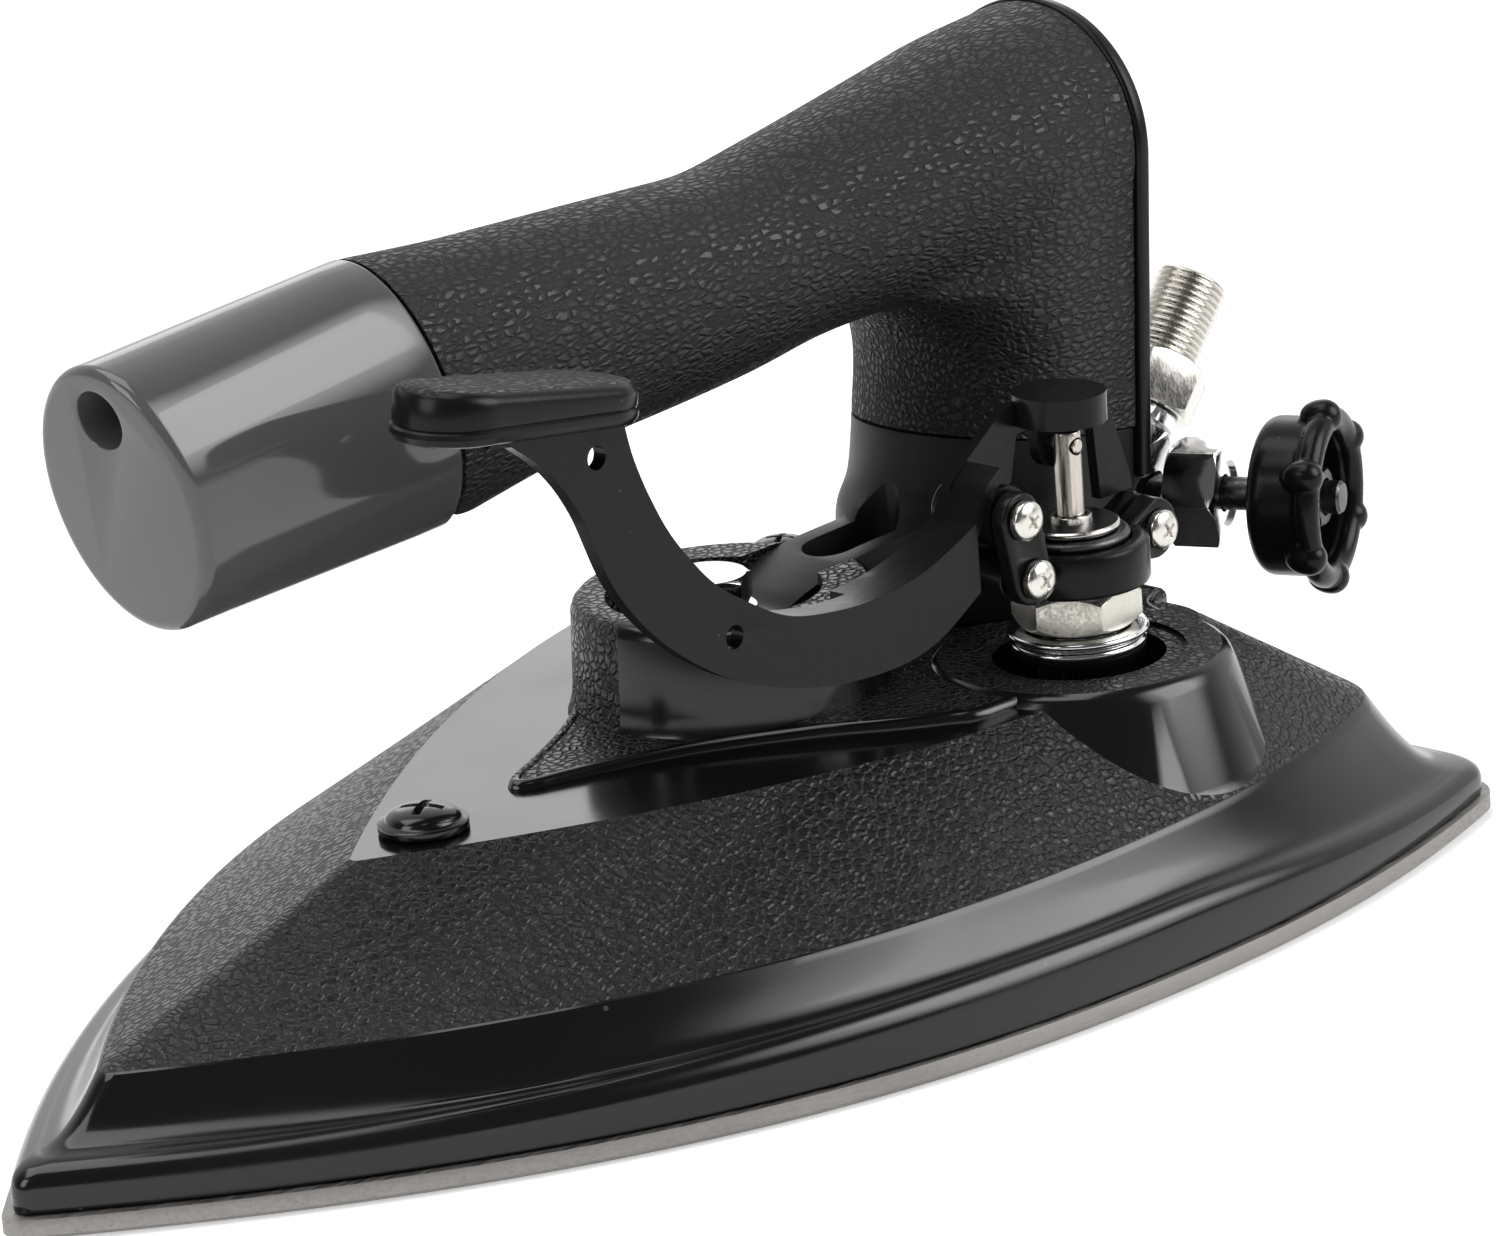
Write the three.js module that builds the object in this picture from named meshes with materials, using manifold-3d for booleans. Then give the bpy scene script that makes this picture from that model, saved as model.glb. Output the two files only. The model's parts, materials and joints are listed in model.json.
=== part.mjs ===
// A steam iron for a boiler, with a thumb lever over a poppet valve and a screw-down drain.
// Lengths are in millimetres. The sole rests on z = 0 with its middle at the origin,
// the nose points to -X, the thumb lever stands on the -Y side and +Z is up.
import * as THREE from 'three';
import { mergeVertices } from 'three/addons/utils/BufferGeometryUtils.js';
import Module from 'manifold-3d';

const wasm = await Module();
wasm.setup();

// Fits and cuts that many pieces share
const seat = 0.3;
const overrun = 2;
const weldReach = 1e-4;
const largeSides = 24;
const midSides = 16;
const smallSides = 10;
const gripSides = 24;
const leverSteps = 16;
const slabSteps = 7;
const hexSides = 6;

// Sole, the steam chamber cast on it and what stands in the chamber
const sole = {
  noseX: -106.5,
  widestX: 43,
  rearX: 107,
  halfWidth: 62.3,
  rearHalf: 51.6,
  noseRadius: 2.5,
  cornerRadius: 7.5,
  power: 2.3,
  noseDrawIn: 2.2,
  rimHeight: 2.8,
  edgeChamfer: 0.8,
};
const chamber = {
  inset: 15,
  rearInset: 10,
  wall: 5,
  floor: 6,
  height: 11.2,
  gasket: 0.8,
  lid: 2,
  holeClearance: 0.5,
};
const steamHole = { radius: 1.6, inset: 27, frontX: -40, pitch: 8, rows: 6, sides: 8 };
const rib = { thickness: 3, frontX: -8, rearX: 72, y: 15, gap: 1, root: 0.8 };

// Black cover over the sole, with its glossy band and its flat-topped facet
const cover = {
  edgeInset: 1,
  wall: 2.6,
  beadWide: { height: 6.2, inset: 0.7 },
  beadRound: { height: 7.9, inset: 1.3 },
  beadTop: { height: 8.8, inset: 2.8 },
  groove: { height: 8.5, inset: 3.3 },
  bandFoot: { height: 9.3, inset: 3.7 },
  bandInset: 7.5,
  bandNoseHeight: 15.3,
  bandRearHeight: 19.3,
};
const facet = {
  noseX: -47.9,
  widestX: 45,
  rearX: 80,
  halfWidth: 40,
  rearHalf: 33,
  noseRadius: 1,
  cornerRadius: 8,
  power: 1.75,
  noseDrawIn: 2,
  noseHeight: 29.3,
  rise: 3.8,
};
const platform = {
  tipX: -20,
  shoulderX: 28,
  rearX: 76,
  halfWidth: 36,
  rearHalf: 33,
  height: 33.2,
  tipHeight: 30.8,
  rampEndX: 8,
  power: 1.5,
};

// Front post of the sole and the boss of the cover round it
const front = {
  x: 15.7,
  postRadius: 12.6,
  postHeight: 38,
  bossRadius: 21,
  bossDraft: 0.8,
  bossHeight: 45.7,
  bossEdge: 1.2,
  openingRadius: 14,
};

// Steam valve: places up its own axis are heights over the sole
const valve = {
  x: 50.8,
  y: -30,
  bossRadius: 18.3,
  bossFootRadius: 22,
  bossFootHeight: 15,
  recessRadius: 15.5,
  recessDepth: 0.8,
  openingRadius: 12.3,
  neckRadius: 8,
  neckTop: 35,
  threadRadius: 6.5,
  threadTop: 42.1,
  boreRadius: 5,
  portRadius: 2.5,
  portTop: 21.7,
};
const washer = { radius: 9.6, thickness: 1.5, low: 35.3 };
const valveNut = { acrossFlats: 14.4, low: 37.1, high: 42.1, chamfer: 0.9 };
const clamp = {
  radius: 9.65,
  boreRadius: 7.6,
  low: 42.4,
  high: 48.1,
  edge: 0.7,
  lugRadius: 3.4,
  lugHalfWidth: 3.4,
  earReach: 12.4,
  earHeight: 46.4,
  earRadius: 3.9,
  earHalfWidth: 3.3,
  earSlit: 0.9,
};
const bonnet = { radius: 7.3, low: 42.4, high: 49.2, spigotRadius: 4.6, spigotLow: 38, edge: 0.5 };
const gland = { radius: 6.15, thickness: 0.8, hubRadius: 2.7, hubHeight: 0.9 };
const stem = { radius: 1.75, low: 23.3, showing: 10.9, boreClearance: 0.3, edge: 0.35 };
const stemTop = bonnet.high + seat + gland.thickness + gland.hubHeight + stem.showing;
const plug = { radius: 4.2, low: 22, high: 25, socketDepth: 1.4, edge: 0.35 };
const spring = { radius: 3.4, wireRadius: 0.5, turns: 5, stepsPerTurn: 8, wireSides: 5 };
const stemPin = { radius: 0.9, belowTop: 1.9, nearLength: 1.9, farLength: 3.4, clearance: 0.25 };
const stemPinHeight = stemTop - stemPin.belowTop;

// Links and the thumb lever: both pivots lie along Y
const link = {
  upperX: 35,
  upperZ: 55.5,
  lowerX: 36.7,
  lowerZ: 47.4,
  thickness: 2.2,
  endRadius: 3.4,
  edge: 0.4,
};
const pivot = { radius: 1.4, headRadius: 2.55, headThickness: 1.7, tail: 0.9, headRound: 0.8 };
const lever = {
  halfWidth: 3.6,
  reach: 85.3,
  rise: 30.4,
  nearWeb: 2,
  farWeb: 1.5,
  flange: 1.6,
  innerFlangeWidth: 4.6,
  bossRadius: 3.9,
  edge: 0.35,
  capX: 14.4,
  capRadius: 6,
  capLow: 8.2,
  capHigh: 12,
  capTilt: 0.035,
  tongueHalfWidth: 3.1,
  pinHole: 1.35,
  markRadius: 1.5,
  shoulderSteps: 6,
  rearSteps: 6,
};
const pad = { length: 34.5, width: 15, thickness: 5.3, x: -77.75, z: 31.38, tilt: 0.2, edge: 1.2, steps: 8 };

// Handle: a leaning plate closes its rear end, a bracket carries it
const plate = {
  x: 77.5,
  z: 48,
  lean: 0.0714,
  thickness: 2.2,
  halfWidth: 18.6,
  archZ: 89,
  lowZ: 47,
  edge: 0.5,
  archSteps: 14,
};
const block = {
  lowZ: 52,
  highZ: 69,
  halfWidth: 13,
  thickness: 5.6,
  cornerRadius: 5,
  cornerSteps: 4,
  edge: 1.4,
};
const grip = {
  frontX: -33,
  length: 113,
  frontZ: 84,
  rise: 5,
  radius: 16.9,
  rings: 16,
  columnHalfWidth: 17.8,
  columnCentreX: 68.5,
  jointX: 52,
  jointZ: 57.5,
  jointFall: 0.14,
};
const cap = {
  rearX: -33.3,
  faceX: -76.3,
  rearZ: 84,
  faceZ: 82,
  rearRadius: 16.9,
  faceRadius: 17.6,
  faceLean: 0.29,
  rounding: 4,
  holeRadius: 3.6,
  holeRise: 10.6,
  holeDepth: 25,
};
const bracket = {
  baseZ: 33.5,
  strapHalfWidth: 6.3,
  strapThickness: 5.5,
  footRadius: 7.5,
  footHigh: 42.3,
  footThickness: 4,
  slotWidth: 7.3,
  slotFrontX: 34.5,
  slotRearX: 50,
  slotRound: 2.5,
  slotSteps: 8,
  strapSteps: 12,
  edge: 0.8,
};

// Fasteners
const frontBolt = {
  acrossFlats: 10,
  headHeight: 4,
  chamfer: 0.8,
  radius: 3,
  depth: 22,
  washerRadius: 6.2,
  washer: 1.2,
};
const stud = { x: 63, radius: 3, low: 16, high: 76, postRadius: 7, postHeight: 27 };
const coverScrew = {
  frontX: -35.8,
  frontHead: 5.6,
  rearX: 60,
  rearY: 30,
  rearHead: 4,
  headThickness: 2.8,
  shoulderShare: 0.86,
  crownShare: 0.5,
  radius: 2.2,
  length: 15,
  postRadius: 4.5,
  postHeight: 22,
};
const capScrew = { headRadius: 3.1, headThickness: 3, crownShare: 0.6, radius: 2, length: 34 };
const lidScrew = { headRadius: 3, headThickness: 2.2, radius: 1.7, length: 7, placesX: [8, 86] };
const plateScrew = { headRadius: 3.2, headThickness: 2, crownShare: 0.6, radius: 1.9, length: 17, z: 60 };

// Steam inlet and drain behind the handle
const fitting = {
  x: 91,
  z: 39.3,
  pipeRadius: 5,
  pipeHole: 5.6,
  ballRadius: 6.3,
  boreRadius: 2.6,
  inletLean: 0.6984,
  barrelRadius: 6.5,
  barrelLength: 9,
  mouthRadius: 5.4,
  mouthLength: 11.8,
  socketRadius: 3.9,
  socketDepth: 6,
  branchTurn: -1.1698,
  branchRadius: 5.6,
  branchLength: 9.5,
  branchBore: 3.7,
  branchFloor: 3,
};
const nipple = {
  acrossFlats: 13,
  hexLow: 12.1,
  hexHigh: 19.1,
  chamfer: 0.8,
  radius: 4.86,
  high: 31,
  threadRelief: 0.5,
  boreRadius: 3.2,
  edge: 0.7,
};
const drain = {
  nutAcrossFlats: 12.8,
  nutLow: 9.8,
  nutHigh: 17,
  collarRadius: 4.3,
  collarHigh: 20.2,
  discRadius: 3.3,
  discLow: 3.4,
  discThickness: 1.7,
  spindleRadius: 2.2,
  spindleHigh: 32.6,
  chamfer: 0.8,
  edge: 0.7,
  spindleEdge: 0.35,
};
const wheel = {
  low: 22,
  high: 30,
  drumRadius: 10.5,
  drumRound: 1.6,
  recessRadius: 8.2,
  recessFloor: 26,
  hubRadius: 4.2,
  rimRadius: 10.2,
  rimThickness: 1.75,
  rimHeight: 30.6,
  rimSides: 6,
  lugs: 6,
  lugRadius: 2.3,
  lugReach: 10.9,
  lugSides: 8,
  lugRings: 5,
  nutAcrossFlats: 7,
  nutThickness: 2.4,
  nutEdge: 0.35,
};

// Hand-chosen shares of the sizes above
const leverOuterShares = [
  [-1.008, 1.0737], [-0.914, 0.868], [-0.855, 0.648], [-0.8, 0.306], [-0.721, 0.039],
  [-0.61, -0.19], [-0.492, -0.336], [-0.37, -0.42], [-0.245, -0.444], [-0.157, -0.401],
  [-0.0645, -0.27],
];
const leverInnerShares = [
  [-0.757, 0.93], [-0.744, 0.786], [-0.717, 0.605], [-0.678, 0.414], [-0.613, 0.2],
  [-0.549, 0.069], [-0.462, -0.0625], [-0.36, -0.118], [-0.277, -0.128], [-0.19, -0.102],
  [-0.124, -0.046], [-0.0645, 0.02],
];
const leverShoulderShares = [
  [-0.0645, 0.02], [-0.0504, 0.085], [-0.034, 0.15], [-0.0035, 0.21],
];
const leverFarShares = [
  [-0.0457, -0.033], [-0.0504, 0.066], [-0.0422, 0.138], [-0.0164, 0.194], [0.0703, 0.355],
  [0.0879, 0.375], [0.2638, 0.362], [0.286, 0.303], [0.314, 0.18], [0.3482, -0.095],
  [0.3505, -0.161], [0.2802, -0.161], [0.2778, -0.066], [0.2696, 0.247], [0.1043, 0.247],
  [0.0868, 0.059], [0.0457, -0.016],
];
const leverMarkShares = [[-0.8148, 0.8454], [-0.5744, -0.0625]];
const gripAlongShares = [0, 0.115, 0.248, 0.381, 0.487, 0.593, 0.699, 0.805, 0.903, 1.03];
const gripRiseShares = [0, 0.12, 0.24, 0.26, 0.32, 0.64, 0.86, 0.96, 1, 1];
const gripHighShares = [1, 0.94, 0.87, 0.817, 0.775, 0.775, 0.822, 0.905, 1, 1.08];
const gripWideShares = [1, 0.935, 0.864, 0.805, 0.775, 0.793, 0.852, 0.96, 1.04, 1.08];
// Column of the handle: share of the way up from its joint to the top of the plate's straight sides,
// then how far its front stands behind the joint's as a share of its half width
const columnShares = [
  [0, 0], [0.14, 0.07], [0.27, 0.1], [0.4, 0.03], [0.49, -0.14], [0.556, -0.33],
  [0.62, -0.56], [0.71, -0.22], [1, 0],
];
// Column of the bracket: share of the way up from its base to the joint, how far its front stands
// behind the joint's and its half width, both as shares of the grip's half width
const bracketShares = [
  [0, -0.265, 1.04], [0.2, -0.3, 1.01], [0.5, -0.33, 0.985], [0.7, -0.13, 0.98], [1, -0.02, 0.98],
];
// Strap of the bracket: shares of the way along from the foot to the column and up to its crest
const strapTopShares = [[0, 0], [0.19, -0.01], [0.32, 0.34], [0.58, 0.86], [0.87, 1], [1.2, 1.1]];

// General shape makers

// Joins corners that coincide and drops triangles that have no area
function weld(geometry) {
  const bare = geometry.clone();
  bare.deleteAttribute('normal');
  bare.deleteAttribute('uv');
  const merged = mergeVertices(bare, weldReach);
  const kept = [];
  for (let start = 0; start < merged.index.count; start += 3) {
    const corners = [0, 1, 2].map((offset) => merged.index.getX(start + offset));
    if (new Set(corners).size === 3) kept.push(...corners);
  }
  merged.setIndex(kept);
  return merged;
}

// Turns every face to point out of a closed shape
function facingOut(geometry) {
  const welded = weld(geometry);
  const place = welded.attributes.position;
  const index = welded.index.array;
  const [a, b, c] = [new THREE.Vector3(), new THREE.Vector3(), new THREE.Vector3()];
  let volume = 0;
  for (let start = 0; start < index.length; start += 3) {
    a.fromBufferAttribute(place, index[start]);
    b.fromBufferAttribute(place, index[start + 1]);
    c.fromBufferAttribute(place, index[start + 2]);
    volume += a.dot(b.cross(c));
  }
  if (volume < 0) {
    for (let start = 0; start < index.length; start += 3) {
      [index[start + 1], index[start + 2]] = [index[start + 2], index[start + 1]];
    }
  }
  return welded;
}

function solidOf(geometry) {
  const welded = facingOut(geometry);
  return new wasm.Manifold(new wasm.Mesh({
    numProp: 3,
    vertProperties: new Float32Array(welded.attributes.position.array),
    triVerts: new Uint32Array(welded.index.array),
  }));
}

function geometryOf(solid) {
  const mesh = solid.getMesh();
  const geometry = new THREE.BufferGeometry();
  geometry.setAttribute('position', new THREE.BufferAttribute(mesh.vertProperties, 3));
  geometry.setIndex(new THREE.BufferAttribute(mesh.triVerts, 1));
  return geometry;
}

function join(...shapes) {
  return geometryOf(shapes.map(solidOf).reduce((whole, next) => whole.add(next)));
}

function cut(shape, ...tools) {
  return geometryOf(tools.map(solidOf).reduce((whole, tool) => whole.subtract(tool), solidOf(shape)));
}

function common(shape, other) {
  return geometryOf(solidOf(shape).intersect(solidOf(other)));
}

// Skins a list of rings that hold the same number of corners, and closes both ends
function loft(rings) {
  const count = rings[0].length;
  const index = [];
  for (let ring = 0; ring < rings.length - 1; ring += 1) {
    for (let step = 0; step < count; step += 1) {
      const low = ring * count + step;
      const lowNext = ring * count + ((step + 1) % count);
      index.push(low, lowNext, lowNext + count, low, lowNext + count, low + count);
    }
  }
  const last = (rings.length - 1) * count;
  for (let step = 1; step < count - 1; step += 1) {
    index.push(0, step + 1, step, last, last + step, last + step + 1);
  }
  const geometry = new THREE.BufferGeometry().setFromPoints(rings.flat());
  geometry.setIndex(index);
  return facingOut(geometry);
}

// Solid of revolution about +Z from [radius, height] pairs
function turned(profile, sides = midSides) {
  const points = profile.map(([radius, height]) => new THREE.Vector2(radius, height));
  return facingOut(new THREE.LatheGeometry(points, sides).rotateX(Math.PI / 2));
}

function rod(radius, low, high, sides = midSides) {
  return turned([[0, low], [radius, low], [radius, high], [0, high]], sides);
}

function tube(radius, boreRadius, low, high, sides = midSides) {
  const profile = [[boreRadius, low], [radius, low], [radius, high], [boreRadius, high], [boreRadius, low]];
  return turned(profile, sides);
}

// Rod whose top edge, and bottom edge if asked, is chamfered
function edgedRod(radius, low, high, edge, sides = midSides, lowEdge = 0) {
  const profile = [[0, low], [radius - lowEdge, low], [radius, low + lowEdge]];
  profile.push([radius, high - edge], [radius - edge, high], [0, high]);
  return turned(profile, sides);
}

// Hexagon bar with its corners chamfered at both ends
function hexBar(acrossFlats, low, high, chamfer) {
  const corner = acrossFlats / Math.sqrt(3);
  const round = edgedRod(corner, low, high, chamfer, largeSides, chamfer);
  return common(rod(corner, low, high, hexSides), round);
}

function shapeOf(points) {
  return new THREE.Shape(points.map(([x, y]) => new THREE.Vector2(x, y)));
}

// Outline round two circles of one radius
function oblong(startX, startY, endX, endY, radius) {
  const along = Math.atan2(endY - startY, endX - startX);
  const shape = new THREE.Shape();
  shape.absarc(endX, endY, radius, along - Math.PI / 2, along + Math.PI / 2, false);
  shape.absarc(startX, startY, radius, along + Math.PI / 2, along + 1.5 * Math.PI, false);
  shape.closePath();
  return shape;
}

// Outline in X and Z drawn out along Y between two places, with softened edges if asked
function slab(shape, nearY, farY, edge = 0) {
  const settings = {
    depth: farY - nearY - 2 * edge,
    bevelEnabled: edge > 0,
    bevelThickness: edge,
    bevelSize: edge,
    bevelOffset: -edge,
    bevelSegments: 1,
    curveSegments: slabSteps,
  };
  return new THREE.ExtrudeGeometry(shape, settings).rotateX(Math.PI / 2).translate(0, farY - edge, 0);
}

// Smooth line through points given as shares of a width and a height
function sharedCurve(shares, width, height, steps) {
  const points = shares.map(([across, up]) => new THREE.Vector2(across * width, up * height));
  return new THREE.SplineCurve(points).getPoints(steps).map((point) => [point.x, point.y]);
}

// Turns a shape built up +Z to point along X, towards the nose
function towardsNose(geometry) {
  return geometry.rotateY(-Math.PI / 2);
}

// Named mesh of one piece
function piece(name, geometry, finish) {
  const faceted = geometry.index ? geometry.toNonIndexed() : geometry;
  faceted.computeVertexNormals();
  const mesh = new THREE.Mesh(faceted, new THREE.MeshStandardMaterial(finish));
  mesh.name = name;
  return mesh;
}

// Boat-shaped outline: a pointed nose, curved sides, a straight rear edge between rounded corners.
// The corners run from the nose down the -Y side to the rear and back up the +Y side.
function boatOutline(size) {
  const noseSteps = 2;
  const sideSteps = 10;
  const rearSteps = 2;
  const cornerSteps = 3;
  const frontLength = size.widestX - size.noseX;
  const noseAngle = Math.atan((size.power * size.halfWidth) / frontLength);
  const apexX = size.noseX - size.noseRadius * (1 / Math.sin(noseAngle) - 1);
  const tipCentre = size.noseX + size.noseRadius;
  const half = [];
  for (let step = 0; step <= noseSteps; step += 1) {
    const angle = ((Math.PI / 2 - noseAngle) * step) / noseSteps;
    half.push([tipCentre - size.noseRadius * Math.cos(angle), size.noseRadius * Math.sin(angle)]);
  }
  const startShare = (half[noseSteps][0] - apexX) / (size.widestX - apexX);
  for (let step = 1; step <= sideSteps; step += 1) {
    const share = startShare + (1 - startShare) * (step / sideSteps);
    const x = apexX + (size.widestX - apexX) * share;
    half.push([x, size.halfWidth * (1 - (1 - share) ** size.power)]);
  }
  const slope = (2 * (size.halfWidth - size.rearHalf)) / (size.rearX - size.widestX);
  const cornerTurn = Math.PI / 2 - Math.atan(slope);
  const cornerX = size.rearX - size.cornerRadius;
  const cornerStartX = cornerX + size.cornerRadius * Math.cos(cornerTurn);
  const cornerY = boatHalfWidth(size, cornerStartX) - size.cornerRadius * Math.sin(cornerTurn);
  for (let step = 1; step <= rearSteps; step += 1) {
    const x = size.widestX + ((cornerStartX - size.widestX) * step) / rearSteps;
    half.push([x, boatHalfWidth(size, x)]);
  }
  for (let step = 1; step <= cornerSteps; step += 1) {
    const angle = cornerTurn * (1 - step / cornerSteps);
    half.push([cornerX + size.cornerRadius * Math.cos(angle), cornerY + size.cornerRadius * Math.sin(angle)]);
  }
  const near = half.map(([x, y]) => [x, -y]);
  const far = half.slice(1).reverse();
  return [...near, ...far];
}

// Half width of a boat-shaped outline at one place along it
function boatHalfWidth(size, x) {
  if (x < size.widestX) {
    const ahead = (size.widestX - x) / (size.widestX - size.noseX);
    return size.halfWidth * (1 - ahead ** size.power);
  }
  const behind = (x - size.widestX) / (size.rearX - size.widestX);
  return size.halfWidth - (size.halfWidth - size.rearHalf) * behind ** 2;
}

// Sizes of the sole drawn in by an inset; the pointed nose draws in further than the sides
function soleSize(inset, rearInset = inset) {
  return {
    ...sole,
    noseX: sole.noseX + sole.noseDrawIn * inset,
    halfWidth: sole.halfWidth - inset,
    rearHalf: sole.rearHalf - inset,
    rearX: sole.rearX - rearInset,
    cornerRadius: Math.max(sole.cornerRadius - inset / 2, sole.noseRadius),
  };
}

function soleOutline(inset, rearInset = inset) {
  return boatOutline(soleSize(inset, rearInset));
}

function facetOutline(inset) {
  return boatOutline({
    ...facet,
    noseX: facet.noseX + facet.noseDrawIn * inset,
    halfWidth: facet.halfWidth - inset,
    rearHalf: facet.rearHalf - inset,
    rearX: facet.rearX - inset,
  });
}

// Ring of corners from an outline at one height, or at a height that follows x
function ringAt(outline, height) {
  const heightAt = typeof height === 'function' ? height : () => height;
  return outline.map(([x, y]) => new THREE.Vector3(x, y, heightAt(x)));
}

// Heights worked out from the sizes above
const gasketLow = chamber.height + seat;
const lidLow = gasketLow + chamber.gasket + seat;
const lidHigh = lidLow + chamber.lid;
const onLid = lidHigh + seat;
const facetHeightAt = (x) => facet.noseHeight
  + (facet.rise * (x - facet.noseX)) / (facet.rearX - facet.noseX);
const bandHeightAt = (x) => cover.bandNoseHeight
  + ((cover.bandRearHeight - cover.bandNoseHeight) * (x - sole.noseX)) / (sole.rearX - sole.noseX);
const plateXAt = (z) => plate.x + plate.lean * (z - plate.z);
const posts = [
  { x: front.x, y: 0, radius: front.postRadius, height: front.postHeight },
  { x: coverScrew.frontX, y: 0, radius: coverScrew.postRadius, height: coverScrew.postHeight },
  { x: coverScrew.rearX, y: coverScrew.rearY, radius: coverScrew.postRadius, height: coverScrew.postHeight },
  { x: stud.x, y: 0, radius: stud.postRadius, height: stud.postHeight },
];
const lidScrewPlaces = makeLidScrewPlaces();

// Finishes
const finish = {
  soleMetal: { color: 0xb8b6b0, roughness: 0.38, metalness: 0.9 },
  castMetal: { color: 0x9a9a98, roughness: 0.55, metalness: 0.85 },
  gasket: { color: 0x8a3a2a, roughness: 0.8, metalness: 0 },
  coverBlack: { color: 0x0b0b0c, roughness: 0.25, metalness: 0 },
  gripBlack: { color: 0x141414, roughness: 0.55, metalness: 0 },
  bracketBlack: { color: 0x151515, roughness: 0.5, metalness: 0.2 },
  leverBlack: { color: 0x0d0d0e, roughness: 0.28, metalness: 0.1 },
  capGrey: { color: 0x6f6f70, roughness: 0.22, metalness: 0 },
  chrome: { color: 0xd8d8d8, roughness: 0.12, metalness: 1 },
  nickel: { color: 0xb9b6ae, roughness: 0.3, metalness: 1 },
  nutMetal: { color: 0x9c978c, roughness: 0.45, metalness: 0.9 },
  darkSteel: { color: 0x3c3c3e, roughness: 0.45, metalness: 0.8 },
  brass: { color: 0xb08d4a, roughness: 0.35, metalness: 1 },
};

// Sole

function makeSoleplate() {
  const rim = soleOutline(0);
  const block = soleOutline(chamber.inset, chamber.rearInset);
  const body = loft([
    ringAt(soleOutline(sole.edgeChamfer), 0),
    ringAt(rim, sole.edgeChamfer),
    ringAt(rim, sole.rimHeight),
    ringAt(block, sole.rimHeight),
    ringAt(block, chamber.height),
  ]);
  const recess = loft([
    ringAt(chamberOpening(), chamber.floor),
    ringAt(chamberOpening(), chamber.height + overrun),
  ]);
  const pillars = posts.map((post) => edgedRod(post.radius, sole.rimHeight, post.height, sole.edgeChamfer)
    .translate(post.x, post.y, 0));
  const screwSeats = lidScrewPlaces.map(({ x, y }) => rod(lidScrew.headRadius + chamber.holeClearance,
    sole.rimHeight, chamber.height, smallSides).translate(x, y, 0));
  const ribs = [-1, 1].map((side) => ribGeometry(side));
  const bores = [
    rod(frontBolt.radius + seat, front.postHeight - frontBolt.depth, front.postHeight + overrun)
      .translate(front.x, 0, 0),
    rod(stud.radius + seat, stud.low - seat, stud.postHeight + overrun).translate(stud.x, 0, 0),
    ...coverScrewPlaces().map(({ x, y, tip }) => rod(coverScrew.radius + seat, tip - seat,
      coverScrew.postHeight + overrun, smallSides).translate(x, y, 0)),
    ...lidScrewPlaces.map(({ x, y }) => rod(lidScrew.radius + seat, lidHigh - lidScrew.length - seat,
      chamber.height + overrun, smallSides).translate(x, y, 0)),
    ...steamHolePlaces().map(([x, y]) => rod(steamHole.radius, -overrun, chamber.floor + overrun,
      steamHole.sides).translate(x, y, 0)),
  ];
  return cut(join(cut(body, recess), ...pillars, ...screwSeats, ...ribs), ...bores);
}

// Opening of the steam chamber, one wall inside its block
function chamberOpening() {
  return soleOutline(chamber.inset + chamber.wall, chamber.rearInset + chamber.wall);
}

// Low wall along one side of the chamber that makes the steam take the long way round
function ribGeometry(side) {
  const height = chamber.height - rib.gap - chamber.floor + rib.root;
  const length = rib.rearX - rib.frontX;
  return new THREE.BoxGeometry(length, rib.thickness, height)
    .translate((rib.frontX + rib.rearX) / 2, side * rib.y, chamber.floor - rib.root + height / 2);
}

// Two rows of steam holes along the nose and one hole at their meeting point
function steamHolePlaces() {
  const size = soleSize(steamHole.inset);
  const places = [[size.noseX + steamHole.pitch / 2, 0]];
  for (let row = 0; row < steamHole.rows; row += 1) {
    const x = steamHole.frontX + row * steamHole.pitch;
    const y = boatHalfWidth(size, x);
    places.push([x, y], [x, -y]);
  }
  return places;
}

// Lid screws stand in the middle of the chamber's wall: one at the nose, a pair at each place aft
function makeLidScrewPlaces() {
  const size = soleSize(chamber.inset + chamber.wall / 2, chamber.rearInset + chamber.wall / 2);
  const sides = lidScrew.placesX.flatMap((x) => {
    const y = boatHalfWidth(size, x);
    return [{ x, y }, { x, y: -y }];
  });
  return [{ x: size.noseX, y: 0 }, ...sides];
}

function makeChamberSheet(low, high) {
  const outline = soleOutline(chamber.inset, chamber.rearInset);
  return loft([ringAt(outline, low), ringAt(outline, high)]);
}

function makeChamberGasket() {
  const high = gasketLow + chamber.gasket;
  const opening = chamberOpening();
  const open = loft([ringAt(opening, gasketLow - overrun), ringAt(opening, high + overrun)]);
  const ears = lidScrewPlaces.map(({ x, y }) => rod(lidScrew.headRadius + chamber.holeClearance,
    gasketLow, high, smallSides).translate(x, y, 0));
  const holes = lidScrewPlaces.map(({ x, y }) => rod(lidScrew.radius + seat, gasketLow - overrun,
    high + overrun, smallSides).translate(x, y, 0));
  return cut(join(cut(makeChamberSheet(gasketLow, high), open), ...ears), ...holes);
}

function makeChamberLid() {
  const through = (radius, x, y, sides = smallSides) => rod(radius, lidLow - overrun, lidHigh + overrun,
    sides).translate(x, y, 0);
  const holes = [
    ...posts.map((post) => through(post.radius + chamber.holeClearance, post.x, post.y, midSides)),
    ...lidScrewPlaces.map(({ x, y }) => through(lidScrew.radius + seat, x, y)),
    through(valve.portRadius, valve.x, valve.y),
    through(fitting.boreRadius, fitting.x, 0),
  ];
  return cut(makeChamberSheet(lidLow, lidHigh), ...holes);
}

function makeLidScrew() {
  const head = edgedRod(lidScrew.headRadius, lidHigh + seat, lidHigh + seat + lidScrew.headThickness,
    lidScrew.headThickness / 4, smallSides);
  const shank = rod(lidScrew.radius, lidHigh - lidScrew.length, lidHigh + seat + weldReach, smallSides);
  return join(head, shank);
}

// Cover

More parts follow.
